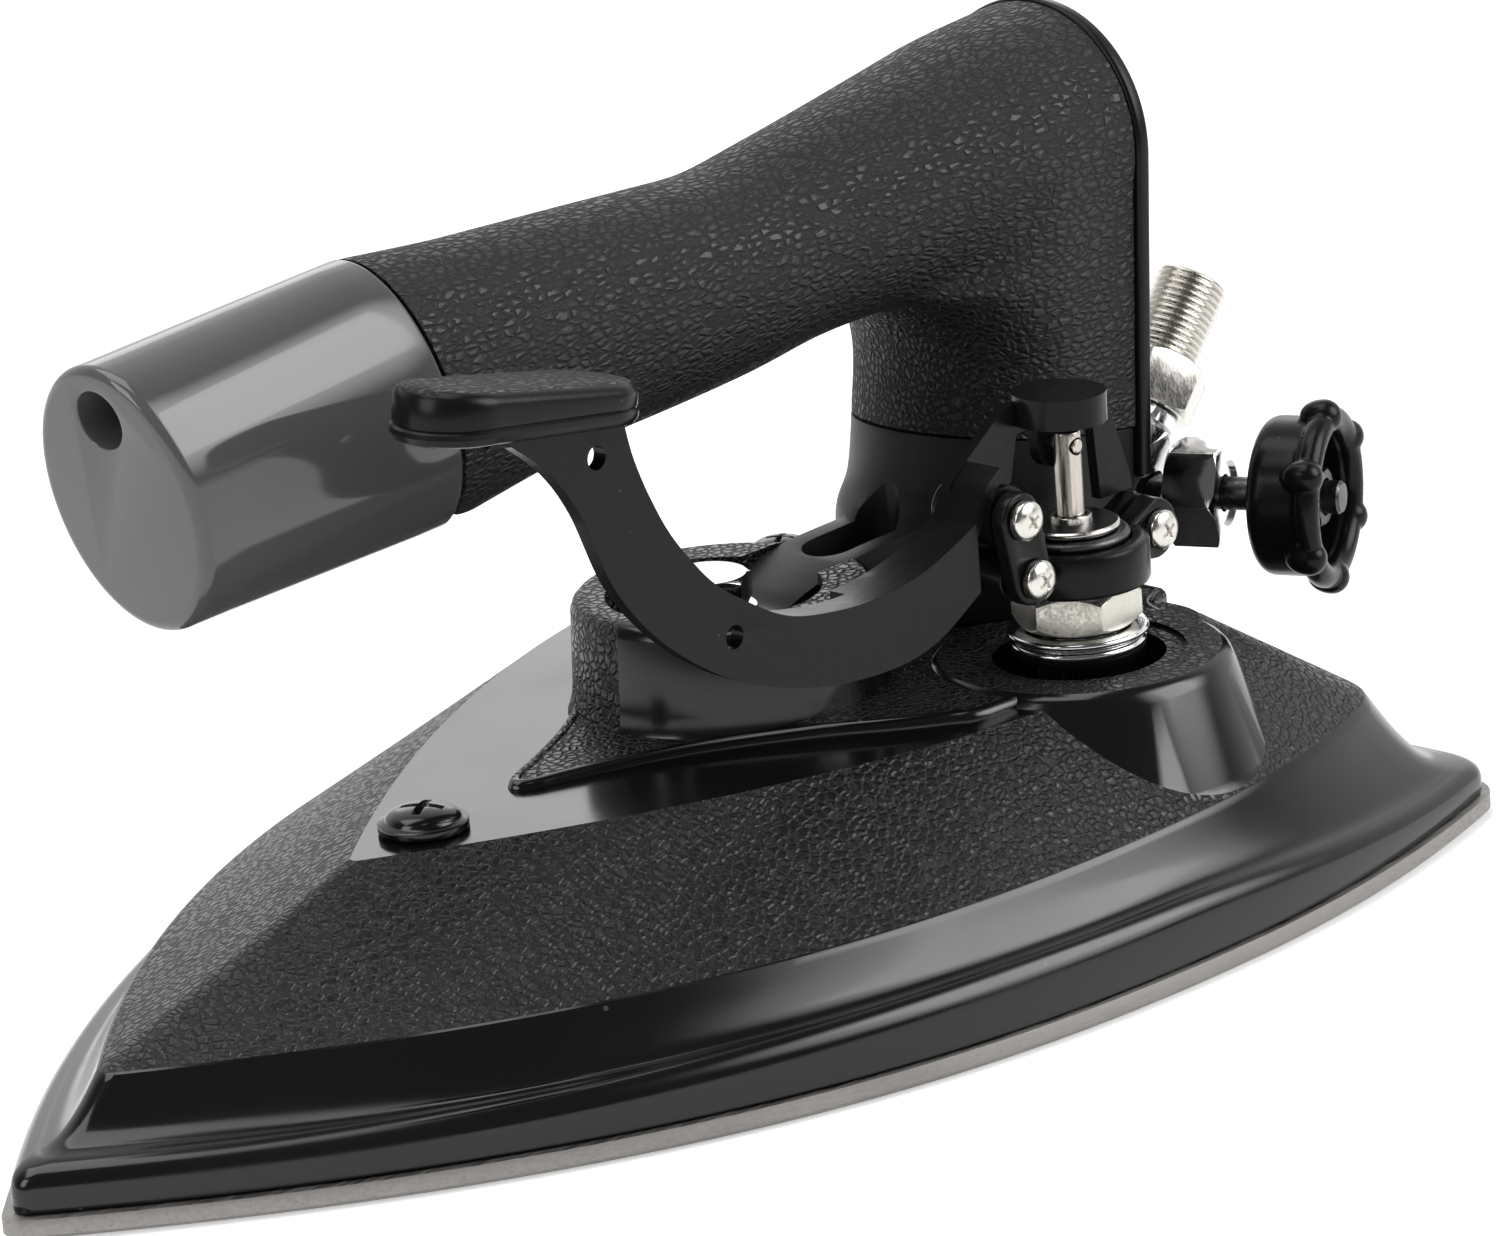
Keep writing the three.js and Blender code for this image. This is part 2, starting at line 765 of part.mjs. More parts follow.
function coverScrewPlaces() {
  const frontSeat = facetHeightAt(coverScrew.frontX) + seat;
  const rearSeat = platform.height + seat;
  const places = [
    { x: coverScrew.frontX, y: 0, head: coverScrew.frontHead, seatZ: frontSeat },
    { x: coverScrew.rearX, y: coverScrew.rearY, head: coverScrew.rearHead, seatZ: rearSeat },
  ];
  return places.map((place) => ({ ...place, tip: place.seatZ - coverScrew.length }));
}

function makeCover() {
  const edge = sole.rimHeight + seat;
  const levels = [cover.beadWide, cover.beadRound, cover.beadTop, cover.groove, cover.bandFoot];
  const outside = loft([
    ringAt(soleOutline(cover.edgeInset), edge),
    ...levels.map((level) => ringAt(soleOutline(level.inset), level.height)),
    ringAt(soleOutline(cover.bandInset), bandHeightAt),
    ringAt(facetOutline(0), facetHeightAt),
  ]);
  const inside = loft([
    ringAt(soleOutline(cover.edgeInset + cover.wall), edge - overrun),
    ringAt(soleOutline(cover.bandFoot.inset + cover.wall), cover.bandFoot.height),
    ringAt(soleOutline(cover.bandInset + cover.wall), (x) => bandHeightAt(x) - cover.wall / 2),
    ringAt(facetOutline(cover.wall / 2), (x) => facetHeightAt(x) - cover.wall),
  ]);
  const pillars = coverScrewPlaces().map(({ x, y }) => rod(coverScrew.postRadius,
    coverScrew.postHeight + seat, facetHeightAt(x) - seat).translate(x, y, 0));
  const shell = cut(join(outside, makePlatform(), makeFrontBoss(), makeValveBoss()), inside);
  return cut(join(shell, ...pillars), ...coverOpenings());
}

// Raised platform with a pointed tip; its top ramps down to the tip
function makePlatform() {
  const steps = 8;
  const half = [];
  for (let step = 0; step <= steps; step += 1) {
    const share = step / steps;
    const x = platform.tipX + (platform.shoulderX - platform.tipX) * share;
    half.push([x, platform.halfWidth * share ** platform.power]);
  }
  half.push([platform.rearX, platform.rearHalf]);
  const outline = [...half.map(([x, y]) => [x, -y]), ...half.slice(1).reverse()];
  const prism = loft([
    ringAt(outline, (x) => facetHeightAt(x) - cover.wall / 2),
    ringAt(outline, platform.height + overrun),
  ]);
  const low = facet.noseHeight - cover.wall;
  const roof = shapeOf([
    [platform.tipX - overrun, low],
    [platform.rearX + overrun, low],
    [platform.rearX + overrun, platform.height],
    [platform.rampEndX, platform.height],
    [platform.tipX, platform.tipHeight],
    [platform.tipX - overrun, platform.tipHeight],
  ]);
  const reach = platform.halfWidth + overrun;
  return common(prism, slab(roof, -reach, reach));
}

function makeFrontBoss() {
  const low = facetHeightAt(front.x) - cover.wall / 2;
  const { bossRadius, bossDraft, bossHeight, bossEdge } = front;
  return turned([
    [0, low],
    [bossRadius + bossDraft, low],
    [bossRadius, bossHeight - bossEdge],
    [bossRadius - bossEdge / 3, bossHeight - bossEdge / 3],
    [bossRadius - bossEdge, bossHeight],
    [0, bossHeight],
  ], largeSides).translate(front.x, 0, 0);
}

function makeValveBoss() {
  return turned([
    [0, valve.bossFootHeight],
    [valve.bossFootRadius, valve.bossFootHeight],
    [valve.bossRadius + valve.recessDepth, platform.height - valve.recessDepth],
    [valve.bossRadius, platform.height],
    [0, platform.height],
  ], largeSides).translate(valve.x, valve.y, 0);
}

function coverOpenings() {
  const strapFloor = bracket.footHigh - bracket.strapThickness + seat;
  const notchHalf = bracket.strapHalfWidth + seat;
  const notchLength = front.bossRadius + overrun;
  const notchHeight = front.bossHeight + overrun - strapFloor;
  const notch = new THREE.BoxGeometry(notchLength, 2 * notchHalf, notchHeight)
    .translate(front.x + notchLength / 2, 0, strapFloor + notchHeight / 2);
  const high = front.bossHeight + overrun;
  return [
    notch,
    rod(front.openingRadius, 0, high, largeSides).translate(front.x, 0, 0),
    rod(valve.openingRadius, 0, high, largeSides).translate(valve.x, valve.y, 0),
    rod(valve.recessRadius, platform.height - valve.recessDepth, high, largeSides)
      .translate(valve.x, valve.y, 0),
    rod(fitting.pipeHole, 0, high).translate(fitting.x, 0, 0),
    rod(stud.radius + seat, 0, high).translate(stud.x, 0, 0),
    ...coverScrewPlaces().map(({ x, y }) => rod(coverScrew.radius + seat, 0, high, smallSides)
      .translate(x, y, 0)),
  ];
}

function makeCoverScrew({ head, seatZ, tip }) {
  const top = seatZ + coverScrew.headThickness;
  return turned([
    [0, tip],
    [coverScrew.radius, tip],
    [coverScrew.radius, seatZ],
    [head, seatZ],
    [head, seatZ + coverScrew.headThickness / 3],
    [head * coverScrew.shoulderShare, top - coverScrew.headThickness / 4],
    [head * coverScrew.crownShare, top],
    [0, top],
  ]);
}

// Handle

// Everything behind the plate's front face, drawn forward by a gap
function behindPlate(gap) {
  const reach = 3 * plate.halfWidth;
  const lowX = plateXAt(0) - gap;
  const high = 2 * plate.archZ;
  const highX = plateXAt(high) - gap;
  const shape = shapeOf([[lowX, 0], [lowX + reach, 0], [highX + reach, high], [highX, high]]);
  return slab(shape, -reach, reach);
}

// Cross-section of the column, seen from above: straight sides and a half-elliptic front
function columnRing(frontX, halfWidth, heightAt) {
  const arcSteps = 12;
  const rearX = plateXAt(plate.archZ) + plate.thickness;
  const outline = [[rearX, -halfWidth]];
  for (let step = 0; step <= arcSteps; step += 1) {
    const angle = -Math.PI / 2 + (Math.PI * step) / arcSteps;
    outline.push([
      grip.columnCentreX - (grip.columnCentreX - frontX) * Math.cos(angle),
      halfWidth * Math.sin(angle),
    ]);
  }
  outline.push([rearX, halfWidth]);
  return ringAt(outline.reverse(), heightAt);
}

// The joint between the grip and its bracket falls towards the rear
const jointHeightAt = (x) => grip.jointZ - grip.jointFall * (x - grip.jointX);

function makeGripBar() {
  const shapeLine = new THREE.CatmullRomCurve3(gripAlongShares.map((share, index) => new THREE.Vector3(
    grip.frontX + share * grip.length,
    gripHighShares[index] * grip.radius,
    gripWideShares[index] * grip.radius,
  )));
  const riseLine = new THREE.SplineCurve(gripAlongShares.map((share, index) => new THREE.Vector2(
    share,
    grip.frontZ + gripRiseShares[index] * grip.rise,
  )));
  const rings = [];
  for (let ring = 0; ring <= grip.rings; ring += 1) {
    const share = ring / grip.rings;
    const { x, y: high, z: wide } = shapeLine.getPoint(share);
    const centreZ = riseLine.getPoint(share).y;
    const corners = [];
    for (let side = 0; side < gripSides; side += 1) {
      const angle = (2 * Math.PI * side) / gripSides;
      corners.push(new THREE.Vector3(x, wide * Math.cos(angle), centreZ + high * Math.sin(angle)));
    }
    rings.push(corners);
  }
  return loft(rings);
}

function makeHandleGrip() {
  const column = loft(columnShares.map(([up, behind]) => columnRing(
    grip.jointX + behind * grip.columnHalfWidth,
    grip.columnHalfWidth,
    (x) => THREE.MathUtils.lerp(jointHeightAt(x), plate.archZ, up),
  )));
  const screwLow = cap.faceX + cap.holeDepth + capScrew.length + seat;
  const screwBore = towardsNose(rod(capScrew.radius + seat, -screwLow, -grip.frontX + overrun, smallSides))
    .translate(0, 0, cap.faceZ + cap.holeRise);
  const studBore = rod(stud.radius + seat, bracket.baseZ, stud.high + seat).translate(stud.x, 0, 0);
  const rearBore = towardsNose(rod(plateScrew.radius + seat, -plateXAt(plateScrew.z) - overrun,
    plateScrew.length - plateXAt(plateScrew.z) - block.thickness - plate.thickness, smallSides))
    .translate(0, 0, plateScrew.z);
  return cut(join(makeGripBar(), column), behindPlate(seat), screwBore, studBore, rearBore);
}

function makeHandleCap() {
  const sides = 28;
  const alongShares = [0, 0.3, 0.62, 1];
  const ringOf = (centreX, centreZ, radius, lean) => Array.from({ length: sides }, (_, side) => {
    const angle = (2 * Math.PI * side) / sides;
    const up = radius * Math.sin(angle);
    return new THREE.Vector3(centreX - lean * up, radius * Math.cos(angle), centreZ + up);
  });
  const wallEndX = cap.faceX + cap.rounding;
  const rings = alongShares.map((share) => ringOf(
    THREE.MathUtils.lerp(cap.rearX, wallEndX, share),
    THREE.MathUtils.lerp(cap.rearZ, cap.faceZ, share),
    THREE.MathUtils.lerp(cap.rearRadius, cap.faceRadius, share),
    cap.faceLean * share,
  ));
  const roundSteps = 4;
  for (let step = 1; step <= roundSteps; step += 1) {
    const angle = (Math.PI / 2) * (step / roundSteps);
    const centreX = wallEndX - cap.rounding * Math.sin(angle);
    const radius = cap.faceRadius - cap.rounding * (1 - Math.cos(angle));
    rings.push(ringOf(centreX, cap.faceZ, radius, cap.faceLean));
  }
  const reach = Math.abs(cap.faceX) + cap.faceRadius;
  const holeEnd = -cap.faceX - cap.holeDepth;
  const hole = towardsNose(rod(cap.holeRadius, holeEnd, reach)).translate(0, 0, cap.faceZ + cap.holeRise);
  const bore = towardsNose(rod(capScrew.radius + seat, 0, reach, smallSides))
    .translate(0, 0, cap.faceZ + cap.holeRise);
  return cut(loft(rings), hole, bore);
}

function makeCapScrew() {
  const headLow = -cap.faceX - cap.holeDepth + seat;
  const screw = turned([
    [0, headLow - capScrew.length],
    [capScrew.radius, headLow - capScrew.length],
    [capScrew.radius, headLow],
    [capScrew.headRadius, headLow],
    [capScrew.headRadius, headLow + capScrew.headThickness / 2],
    [capScrew.headRadius * capScrew.crownShare, headLow + capScrew.headThickness],
    [0, headLow + capScrew.headThickness],
  ], smallSides);
  return towardsNose(screw).translate(0, 0, cap.faceZ + cap.holeRise);
}

// Stands a flat outline, drawn in Y and height, in the leaning plane behind the handle
function inPlatePlane(shape, low, thickness, edge, curveSegments) {
  const geometry = new THREE.ExtrudeGeometry(shape, {
    depth: thickness - 2 * edge,
    bevelEnabled: true,
    bevelThickness: edge,
    bevelSize: edge,
    bevelOffset: -edge,
    bevelSegments: 2,
    curveSegments,
  }).translate(0, 0, low + edge);
  const lean = Math.atan(plate.lean);
  const across = new THREE.Vector3(0, 1, 0);
  const up = new THREE.Vector3(Math.sin(lean), 0, Math.cos(lean));
  const back = new THREE.Vector3(Math.cos(lean), 0, -Math.sin(lean));
  const stand = new THREE.Matrix4().makeBasis(across, up, back).setPosition(plate.x, 0, plate.z);
  return geometry.applyMatrix4(stand);
}

function makeBackPlate() {
  const archUp = plate.archZ - plate.z;
  const shape = new THREE.Shape();
  shape.moveTo(-plate.halfWidth, plate.lowZ - plate.z);
  shape.lineTo(plate.halfWidth, plate.lowZ - plate.z);
  shape.absarc(0, archUp, plate.halfWidth, 0, Math.PI, false);
  shape.closePath();
  return cut(inPlatePlane(shape, 0, plate.thickness, plate.edge, plate.archSteps), plateScrewBore());
}

function makeRearBlock() {
  const corner = block.cornerRadius;
  const [low, high] = [block.lowZ - plate.z + corner, block.highZ - plate.z - corner];
  const half = block.halfWidth - corner;
  const shape = new THREE.Shape();
  shape.absarc(half, low, corner, -Math.PI / 2, 0, false);
  shape.absarc(half, high, corner, 0, Math.PI / 2, false);
  shape.absarc(-half, high, corner, Math.PI / 2, Math.PI, false);
  shape.absarc(-half, low, corner, Math.PI, 1.5 * Math.PI, false);
  shape.closePath();
  const whole = inPlatePlane(shape, plate.thickness + seat, block.thickness, block.edge, block.cornerSteps);
  return cut(whole, plateScrewBore());
}

// Bore of the screw that holds the block and the plate to the handle
function plateScrewBore() {
  const reach = 2 * plate.halfWidth;
  const faceX = plateXAt(plateScrew.z);
  return towardsNose(rod(plateScrew.radius + seat, -faceX - reach, reach - faceX, smallSides))
    .translate(0, 0, plateScrew.z);
}

function makePlateScrew() {
  const faceX = plateXAt(plateScrew.z) + plate.thickness + block.thickness + 3 * seat;
  const screw = turned([
    [0, -faceX - plateScrew.headThickness],
    [plateScrew.headRadius * plateScrew.crownShare, -faceX - plateScrew.headThickness],
    [plateScrew.headRadius, -faceX - plateScrew.headThickness / 2],
    [plateScrew.headRadius, -faceX],
    [plateScrew.radius, -faceX],
    [plateScrew.radius, plateScrew.length - faceX - seat],
    [0, plateScrew.length - faceX - seat],
  ], smallSides);
  return towardsNose(screw).translate(0, 0, plateScrew.z);
}

function makeHandleBracket() {
  const column = loft(bracketShares.map(([up, behind, wide]) => columnRing(
    grip.jointX + behind * grip.columnHalfWidth,
    wide * grip.columnHalfWidth,
    (x) => THREE.MathUtils.lerp(bracket.baseZ, jointHeightAt(x) - seat, up),
  )));
  const foot = edgedRod(bracket.footRadius, bracket.footHigh - bracket.footThickness, bracket.footHigh,
    bracket.edge).translate(front.x, 0, 0);
  const bores = [
    rod(frontBolt.radius + seat, 0, bracket.footHigh + overrun).translate(front.x, 0, 0),
    rod(stud.radius + seat, 0, grip.jointZ + overrun).translate(stud.x, 0, 0),
    makeBracketSlot(),
    behindPlate(seat),
  ];
  return cut(join(column, makeStrap(), foot), ...bores);
}

// Arched strap from the foot to the column
function makeStrap() {
  const reach = grip.columnCentreX - grip.columnHalfWidth - front.x;
  const crest = front.bossHeight + seat - bracket.footHigh;
  const top = sharedCurve(strapTopShares, reach, crest, bracket.strapSteps)
    .map(([along, up]) => [front.x + along, bracket.footHigh + up]);
  const footLow = bracket.footHigh - bracket.footThickness;
  const under = [...top].reverse().map(([x, z]) => [x, Math.max(z - bracket.strapThickness, footLow)]);
  return slab(shapeOf([...top, ...under]), -bracket.strapHalfWidth, bracket.strapHalfWidth, bracket.edge);
}

// Long hole down through the strap where it meets the column
function makeBracketSlot() {
  const half = bracket.slotWidth / 2;
  const shape = oblong(bracket.slotFrontX + half, 0, bracket.slotRearX - half, 0, half);
  const height = grip.jointZ - bracket.baseZ - bracket.slotRound - seat;
  return new THREE.ExtrudeGeometry(shape, {
    depth: height,
    bevelEnabled: false,
    curveSegments: bracket.slotSteps,
  }).translate(0, 0, bracket.baseZ - overrun - seat);
}

function makeFrontWasher() {
  const low = bracket.footHigh + seat;
  return tube(frontBolt.washerRadius, frontBolt.radius + seat, low, low + frontBolt.washer)
    .translate(front.x, 0, 0);
}

function makeFrontBolt() {
  const low = bracket.footHigh + 2 * seat + frontBolt.washer;
  const head = hexBar(frontBolt.acrossFlats, low, low + frontBolt.headHeight, frontBolt.chamfer);
  const shank = rod(frontBolt.radius, front.postHeight - frontBolt.depth + seat, low + weldReach);
  return join(head, shank).translate(front.x, 0, 0);
}

// Steam valve, built round its own axis

function makeValveBody() {
  return turned([
    [valve.portRadius, onLid],
    [valve.neckRadius, onLid],
    [valve.neckRadius, valve.neckTop],
    [valve.threadRadius, valve.neckTop],
    [valve.threadRadius, valve.threadTop],
    [valve.boreRadius, valve.threadTop],
    [valve.boreRadius, valve.portTop],
    [valve.portRadius, valve.portTop],
    [valve.portRadius, onLid],
  ]);
}

function makeValveNut() {
  const bore = rod(valve.threadRadius + seat, valveNut.low - overrun, valveNut.high + overrun);
  return cut(hexBar(valveNut.acrossFlats, valveNut.low, valveNut.high, valveNut.chamfer), bore);
}

function makeClampRing() {
  const ring = turned([
    [0, clamp.low],
    [clamp.radius - clamp.edge, clamp.low],
    [clamp.radius, clamp.low + clamp.edge],
    [clamp.radius, clamp.high - clamp.edge],
    [clamp.radius - clamp.edge, clamp.high],
    [0, clamp.high],
  ], largeSides);
  const lugX = link.lowerX - valve.x;
  const lug = new THREE.Shape();
  lug.absarc(lugX, link.lowerZ, clamp.lugRadius, Math.PI / 2, 1.25 * Math.PI, false);
  lug.lineTo(lugX + clamp.lugRadius, clamp.low);
  lug.lineTo(-clamp.boreRadius + seat, clamp.low);
  lug.lineTo(-clamp.boreRadius + seat, clamp.high);
  lug.closePath();
  const ear = new THREE.Shape();
  ear.absarc(clamp.earReach, clamp.earHeight, clamp.earRadius, -Math.PI / 2, Math.PI / 2, false);
  ear.lineTo(clamp.boreRadius, clamp.high);
  ear.lineTo(clamp.boreRadius, clamp.low + clamp.edge);
  ear.closePath();
  const slitReach = clamp.earReach + clamp.earRadius + overrun;
  const slit = new THREE.BoxGeometry(slitReach, clamp.earSlit, 2 * clamp.earReach)
    .translate(slitReach / 2, 0, clamp.earHeight);
  return cut(
    join(
      ring,
      slab(lug, -clamp.lugHalfWidth, clamp.lugHalfWidth, link.edge),
      slab(ear, -clamp.earHalfWidth, clamp.earHalfWidth, link.edge),
    ),
    rod(clamp.boreRadius, clamp.low - overrun, clamp.high + clamp.earRadius + overrun, largeSides),
    slit,
    pivotBore(lugX, link.lowerZ, clamp.lugHalfWidth),
    pivotBore(clamp.earReach, clamp.earHeight, clamp.earHalfWidth),
  );
}

// Bore along Y for a pivot screw
function pivotBore(x, z, halfWidth, radius = pivot.radius + seat) {
  return rod(radius, -halfWidth - overrun, halfWidth + overrun, smallSides)
    .rotateX(Math.PI / 2).translate(x, 0, z);
}

// Screw along Y with its round head on the -Y side
function makeCrossScrew(x, z, headY, tailY) {
  const { radius, headRadius, headThickness, headRound } = pivot;
  const screw = turned([
    [0, -tailY],
    [radius, -tailY],
    [radius, -headY],
    [headRadius, -headY],
    [headRadius, -headY + headThickness - headRound],
    [headRadius - headRound / 2, -headY + headThickness - headRound / 4],
    [headRadius - 2 * headRound, -headY + headThickness],
    [0, -headY + headThickness],
  ], smallSides);
  return screw.rotateX(Math.PI / 2).translate(x, 0, z);
}

function makeBonnet() {
  const bore = stem.radius + stem.boreClearance;
  return turned([
    [bore, bonnet.spigotLow],
    [bonnet.spigotRadius, bonnet.spigotLow],
    [bonnet.spigotRadius, bonnet.low],
    [bonnet.radius, bonnet.low],
    [bonnet.radius, bonnet.high - bonnet.edge],
    [bonnet.radius - bonnet.edge, bonnet.high],
    [bore, bonnet.high],
    [bore, bonnet.spigotLow],
  ]);
}

function makeGlandDisc() {
  const bore = stem.radius + stem.boreClearance;
  const low = bonnet.high + seat;
  const top = low + gland.thickness;
  return turned([
    [bore, low],
    [gland.radius, low],
    [gland.radius, top],
    [gland.hubRadius, top],
    [gland.hubRadius, top + gland.hubHeight],
    [bore, top + gland.hubHeight],
    [bore, low],
  ]);
}

function makeStem() {
  const reach = stem.radius + overrun;
  const pinBore = rod(stemPin.radius + stemPin.clearance, -reach, reach, smallSides)
    .rotateX(Math.PI / 2).translate(0, 0, stemPinHeight);
  return cut(edgedRod(stem.radius, stem.low, stemTop, stem.edge), pinBore);
}

function makePlug() {
  const socket = rod(stem.radius + seat, plug.high - plug.socketDepth - seat, plug.high + overrun);
  return cut(edgedRod(plug.radius, plug.low, plug.high, plug.edge, midSides, plug.edge), socket);
}

function makeStemPin() {
  return rod(stemPin.radius, -stemPin.farLength, stemPin.nearLength, smallSides)
    .rotateX(Math.PI / 2).translate(0, 0, stemPinHeight);
}

// Valve spring: one round wire wound between the plug and the bonnet
function makeValveSpring() {
  const low = plug.high + seat + spring.wireRadius;
  const high = bonnet.spigotLow - seat - spring.wireRadius;
  const steps = spring.turns * spring.stepsPerTurn;
  const rings = [];
  const centres = [];
  for (let step = 0; step <= steps; step += 1) {
    const share = step / steps;
    const turn = 2 * Math.PI * spring.turns * share;
    const out = new THREE.Vector3(Math.cos(turn), Math.sin(turn), 0);
    const centre = out.clone().multiplyScalar(spring.radius).setZ(THREE.MathUtils.lerp(low, high, share));
    centres.push(centre);
    rings.push(Array.from({ length: spring.wireSides }, (_, side) => {
      const angle = (2 * Math.PI * side) / spring.wireSides;
      return centre.clone()
        .addScaledVector(out, spring.wireRadius * Math.cos(angle))
        .setZ(centre.z + spring.wireRadius * Math.sin(angle));
    }));
  }
  reportLeastGap(centres);
  return loft(rings);
}

// Least clear gap between one turn of the spring and the next, measured on its points
function reportLeastGap(centres) {
  let least = Infinity;
  centres.forEach((point, index) => {
    for (let other = index + spring.stepsPerTurn / 2; other < centres.length; other += 1) {
      least = Math.min(least, point.distanceTo(centres[other]) - 2 * spring.wireRadius);
    }
  });
  console.log(`valve_spring least gap to itself: ${least.toFixed(2)} mm`);
}

// Links and thumb lever; the lever is built round its own pivot

function makeLinkPlate(nearY) {
  const shape = oblong(link.lowerX - link.upperX, link.lowerZ - link.upperZ, 0, 0, link.endRadius);
  const bores = [[0, 0], [link.lowerX - link.upperX, link.lowerZ - link.upperZ]]
    .map(([x, z]) => pivotBore(x, z, 2 * lever.halfWidth));
  return cut(slab(shape, nearY, nearY + link.thickness, link.edge), ...bores);
}

function makeThumbLever() {
  const outer = sharedCurve(leverOuterShares, lever.reach, lever.rise, leverSteps);
  const inner = sharedCurve(leverInnerShares, lever.reach, lever.rise, leverSteps);
  const shoulder = sharedCurve(leverShoulderShares, lever.reach, lever.rise, lever.shoulderSteps);
  const near = -lever.halfWidth;
  const far = lever.halfWidth;
  const web = slab(shapeOf([...outer, ...[...inner].reverse()]), near, near + lever.nearWeb, lever.edge);
  const innerFlange = slab(strip(inner, lever.flange), near, near + lever.innerFlangeWidth);
  const rearStart = inner.slice(-lever.rearSteps);
  const rearFlange = slab(strip([...rearStart, ...shoulder.slice(1)], lever.flange), near + lever.edge, far);
  const padRest = slab(strip([outer[0], inner[0]], lever.flange), near, far);
  const farOutline = leverFarShares.map(([across, up]) => [across * lever.reach, up * lever.rise]);
  const farWeb = slab(shapeOf(farOutline), far - lever.farWeb, far);
  const boss = rod(lever.bossRadius, -far, far).rotateX(Math.PI / 2);
  const stemX = valve.x - link.upperX;
  const pinZ = stemPinHeight - link.upperZ;
  const tongueShape = oblong(stemX, pinZ, stemX, lever.capLow, lever.tongueHalfWidth);
  const tongue = slab(tongueShape, far - lever.farWeb, far);
  const { capRadius, capLow, capHigh, edge } = lever;
  const capShape = edgedRod(capRadius, capLow, capHigh, 2 * edge, midSides, edge)
    .translate(lever.capX, 0, 0).rotateY(lever.capTilt);
  const marks = leverMarkShares.map(([across, up]) => rod(lever.markRadius, -lever.halfWidth - overrun,
    lever.halfWidth + overrun, smallSides).rotateX(Math.PI / 2)
    .translate(across * lever.reach, 0, up * lever.rise));
  const pinHole = pivotBore(stemX, pinZ, lever.halfWidth, lever.pinHole);
  const whole = join(web, innerFlange, rearFlange, padRest, farWeb, boss, tongue, capShape);
  return cut(whole, pivotBore(0, 0, lever.halfWidth), pinHole, ...marks);
}

// Band of even thickness below a line of points
function strip(line, thickness) {
  const below = line.map(([x, z], index) => {
    const [beforeX, beforeZ] = line[Math.max(index - 1, 0)];
    const [afterX, afterZ] = line[Math.min(index + 1, line.length - 1)];
    const length = Math.hypot(afterX - beforeX, afterZ - beforeZ);
    return [x + ((afterZ - beforeZ) / length) * thickness, z - ((afterX - beforeX) / length) * thickness];
  });
  return shapeOf([...line, ...below.reverse()]);
}

function makeThumbPad() {
  const half = pad.width / 2;
  const reach = pad.length / 2 - half;
  const shape = new THREE.Shape();
  shape.absarc(reach, 0, half, -Math.PI / 2, Math.PI / 2, false);
  shape.absarc(-reach, 0, half, Math.PI / 2, 1.5 * Math.PI, false);
  shape.closePath();
  return new THREE.ExtrudeGeometry(shape, {
    depth: pad.thickness - 2 * pad.edge,
    bevelThickness: pad.edge,
    bevelSize: pad.edge,
    bevelOffset: -pad.edge,
    bevelSegments: 2,
    curveSegments: pad.steps,
  }).translate(0, 0, pad.edge - pad.thickness);
}

// Steam inlet and drain, built round the middle of their fitting

const inletTurn = new THREE.Euler(0, fitting.inletLean, 0);
const branchTurn = new THREE.Euler(0, Math.PI / 2, fitting.branchTurn, 'ZYX');

function turnedTo(geometry, turn) {
  return geometry.applyMatrix4(new THREE.Matrix4().makeRotationFromEuler(turn));
}

function makeSteamFitting() {
  const pipeLow = onLid - fitting.z;
  const barrel = turnedTo(turned([
    [0, 0],
    [fitting.barrelRadius, 0],
    [fitting.barrelRadius, fitting.barrelLength],
    [fitting.mouthRadius, fitting.barrelLength + fitting.barrelRadius - fitting.mouthRadius],
    [fitting.mouthRadius, fitting.mouthLength],
    [0, fitting.mouthLength],
  ]), inletTurn);
  const branch = turnedTo(rod(fitting.branchRadius, 0, fitting.branchLength), branchTurn);
  const ball = new THREE.SphereGeometry(fitting.ballRadius, midSides, midSides / 2);
  const body = join(rod(fitting.pipeRadius, pipeLow, 0), ball, barrel, branch);
  const mouthEnd = fitting.mouthLength + overrun;
  const branchEnd = fitting.branchLength + overrun;
  return cut(
    body,
    rod(fitting.boreRadius, pipeLow - overrun, 0, smallSides),
    turnedTo(rod(fitting.boreRadius, 0, mouthEnd, smallSides), inletTurn),
    turnedTo(rod(fitting.socketRadius, fitting.socketDepth, mouthEnd, smallSides), inletTurn),
    turnedTo(rod(fitting.branchBore, fitting.branchFloor, branchEnd, smallSides), branchTurn),
  );
}

function makeInletNipple() {
  const hex = hexBar(nipple.acrossFlats, nipple.hexLow, nipple.hexHigh, nipple.chamfer);
  const spigot = rod(fitting.socketRadius - seat, fitting.socketDepth + seat, nipple.hexLow + weldReach);
  const thread = turned([
    [0, nipple.hexHigh - weldReach],
    [nipple.radius - nipple.threadRelief, nipple.hexHigh - weldReach],
    [nipple.radius - nipple.threadRelief, nipple.hexHigh + nipple.edge],
    [nipple.radius, nipple.hexHigh + 2 * nipple.edge],
    [nipple.radius, nipple.high - nipple.edge],
    [nipple.radius - nipple.edge, nipple.high],
    [0, nipple.high],
  ]);
  const bore = rod(nipple.boreRadius, 0, nipple.high + overrun);
  return cut(join(hex, spigot, thread), bore);
}

function makeDrainNut() {
  const hex = hexBar(drain.nutAcrossFlats, drain.nutLow, drain.nutHigh, drain.chamfer);
  const collar = edgedRod(drain.collarRadius, drain.nutHigh - weldReach, drain.collarHigh, drain.edge);
  return cut(join(hex, collar), rod(drain.spindleRadius + seat, 0, drain.collarHigh + overrun));
}

function makeDrainDisc() {
  return edgedRod(drain.discRadius, drain.discLow, drain.discLow + drain.discThickness, drain.spindleEdge);
}

function makeDrainSpindle() {
  const low = drain.discLow + drain.discThickness + seat;
  return edgedRod(drain.spindleRadius, low, drain.spindleHigh, drain.spindleEdge);
}

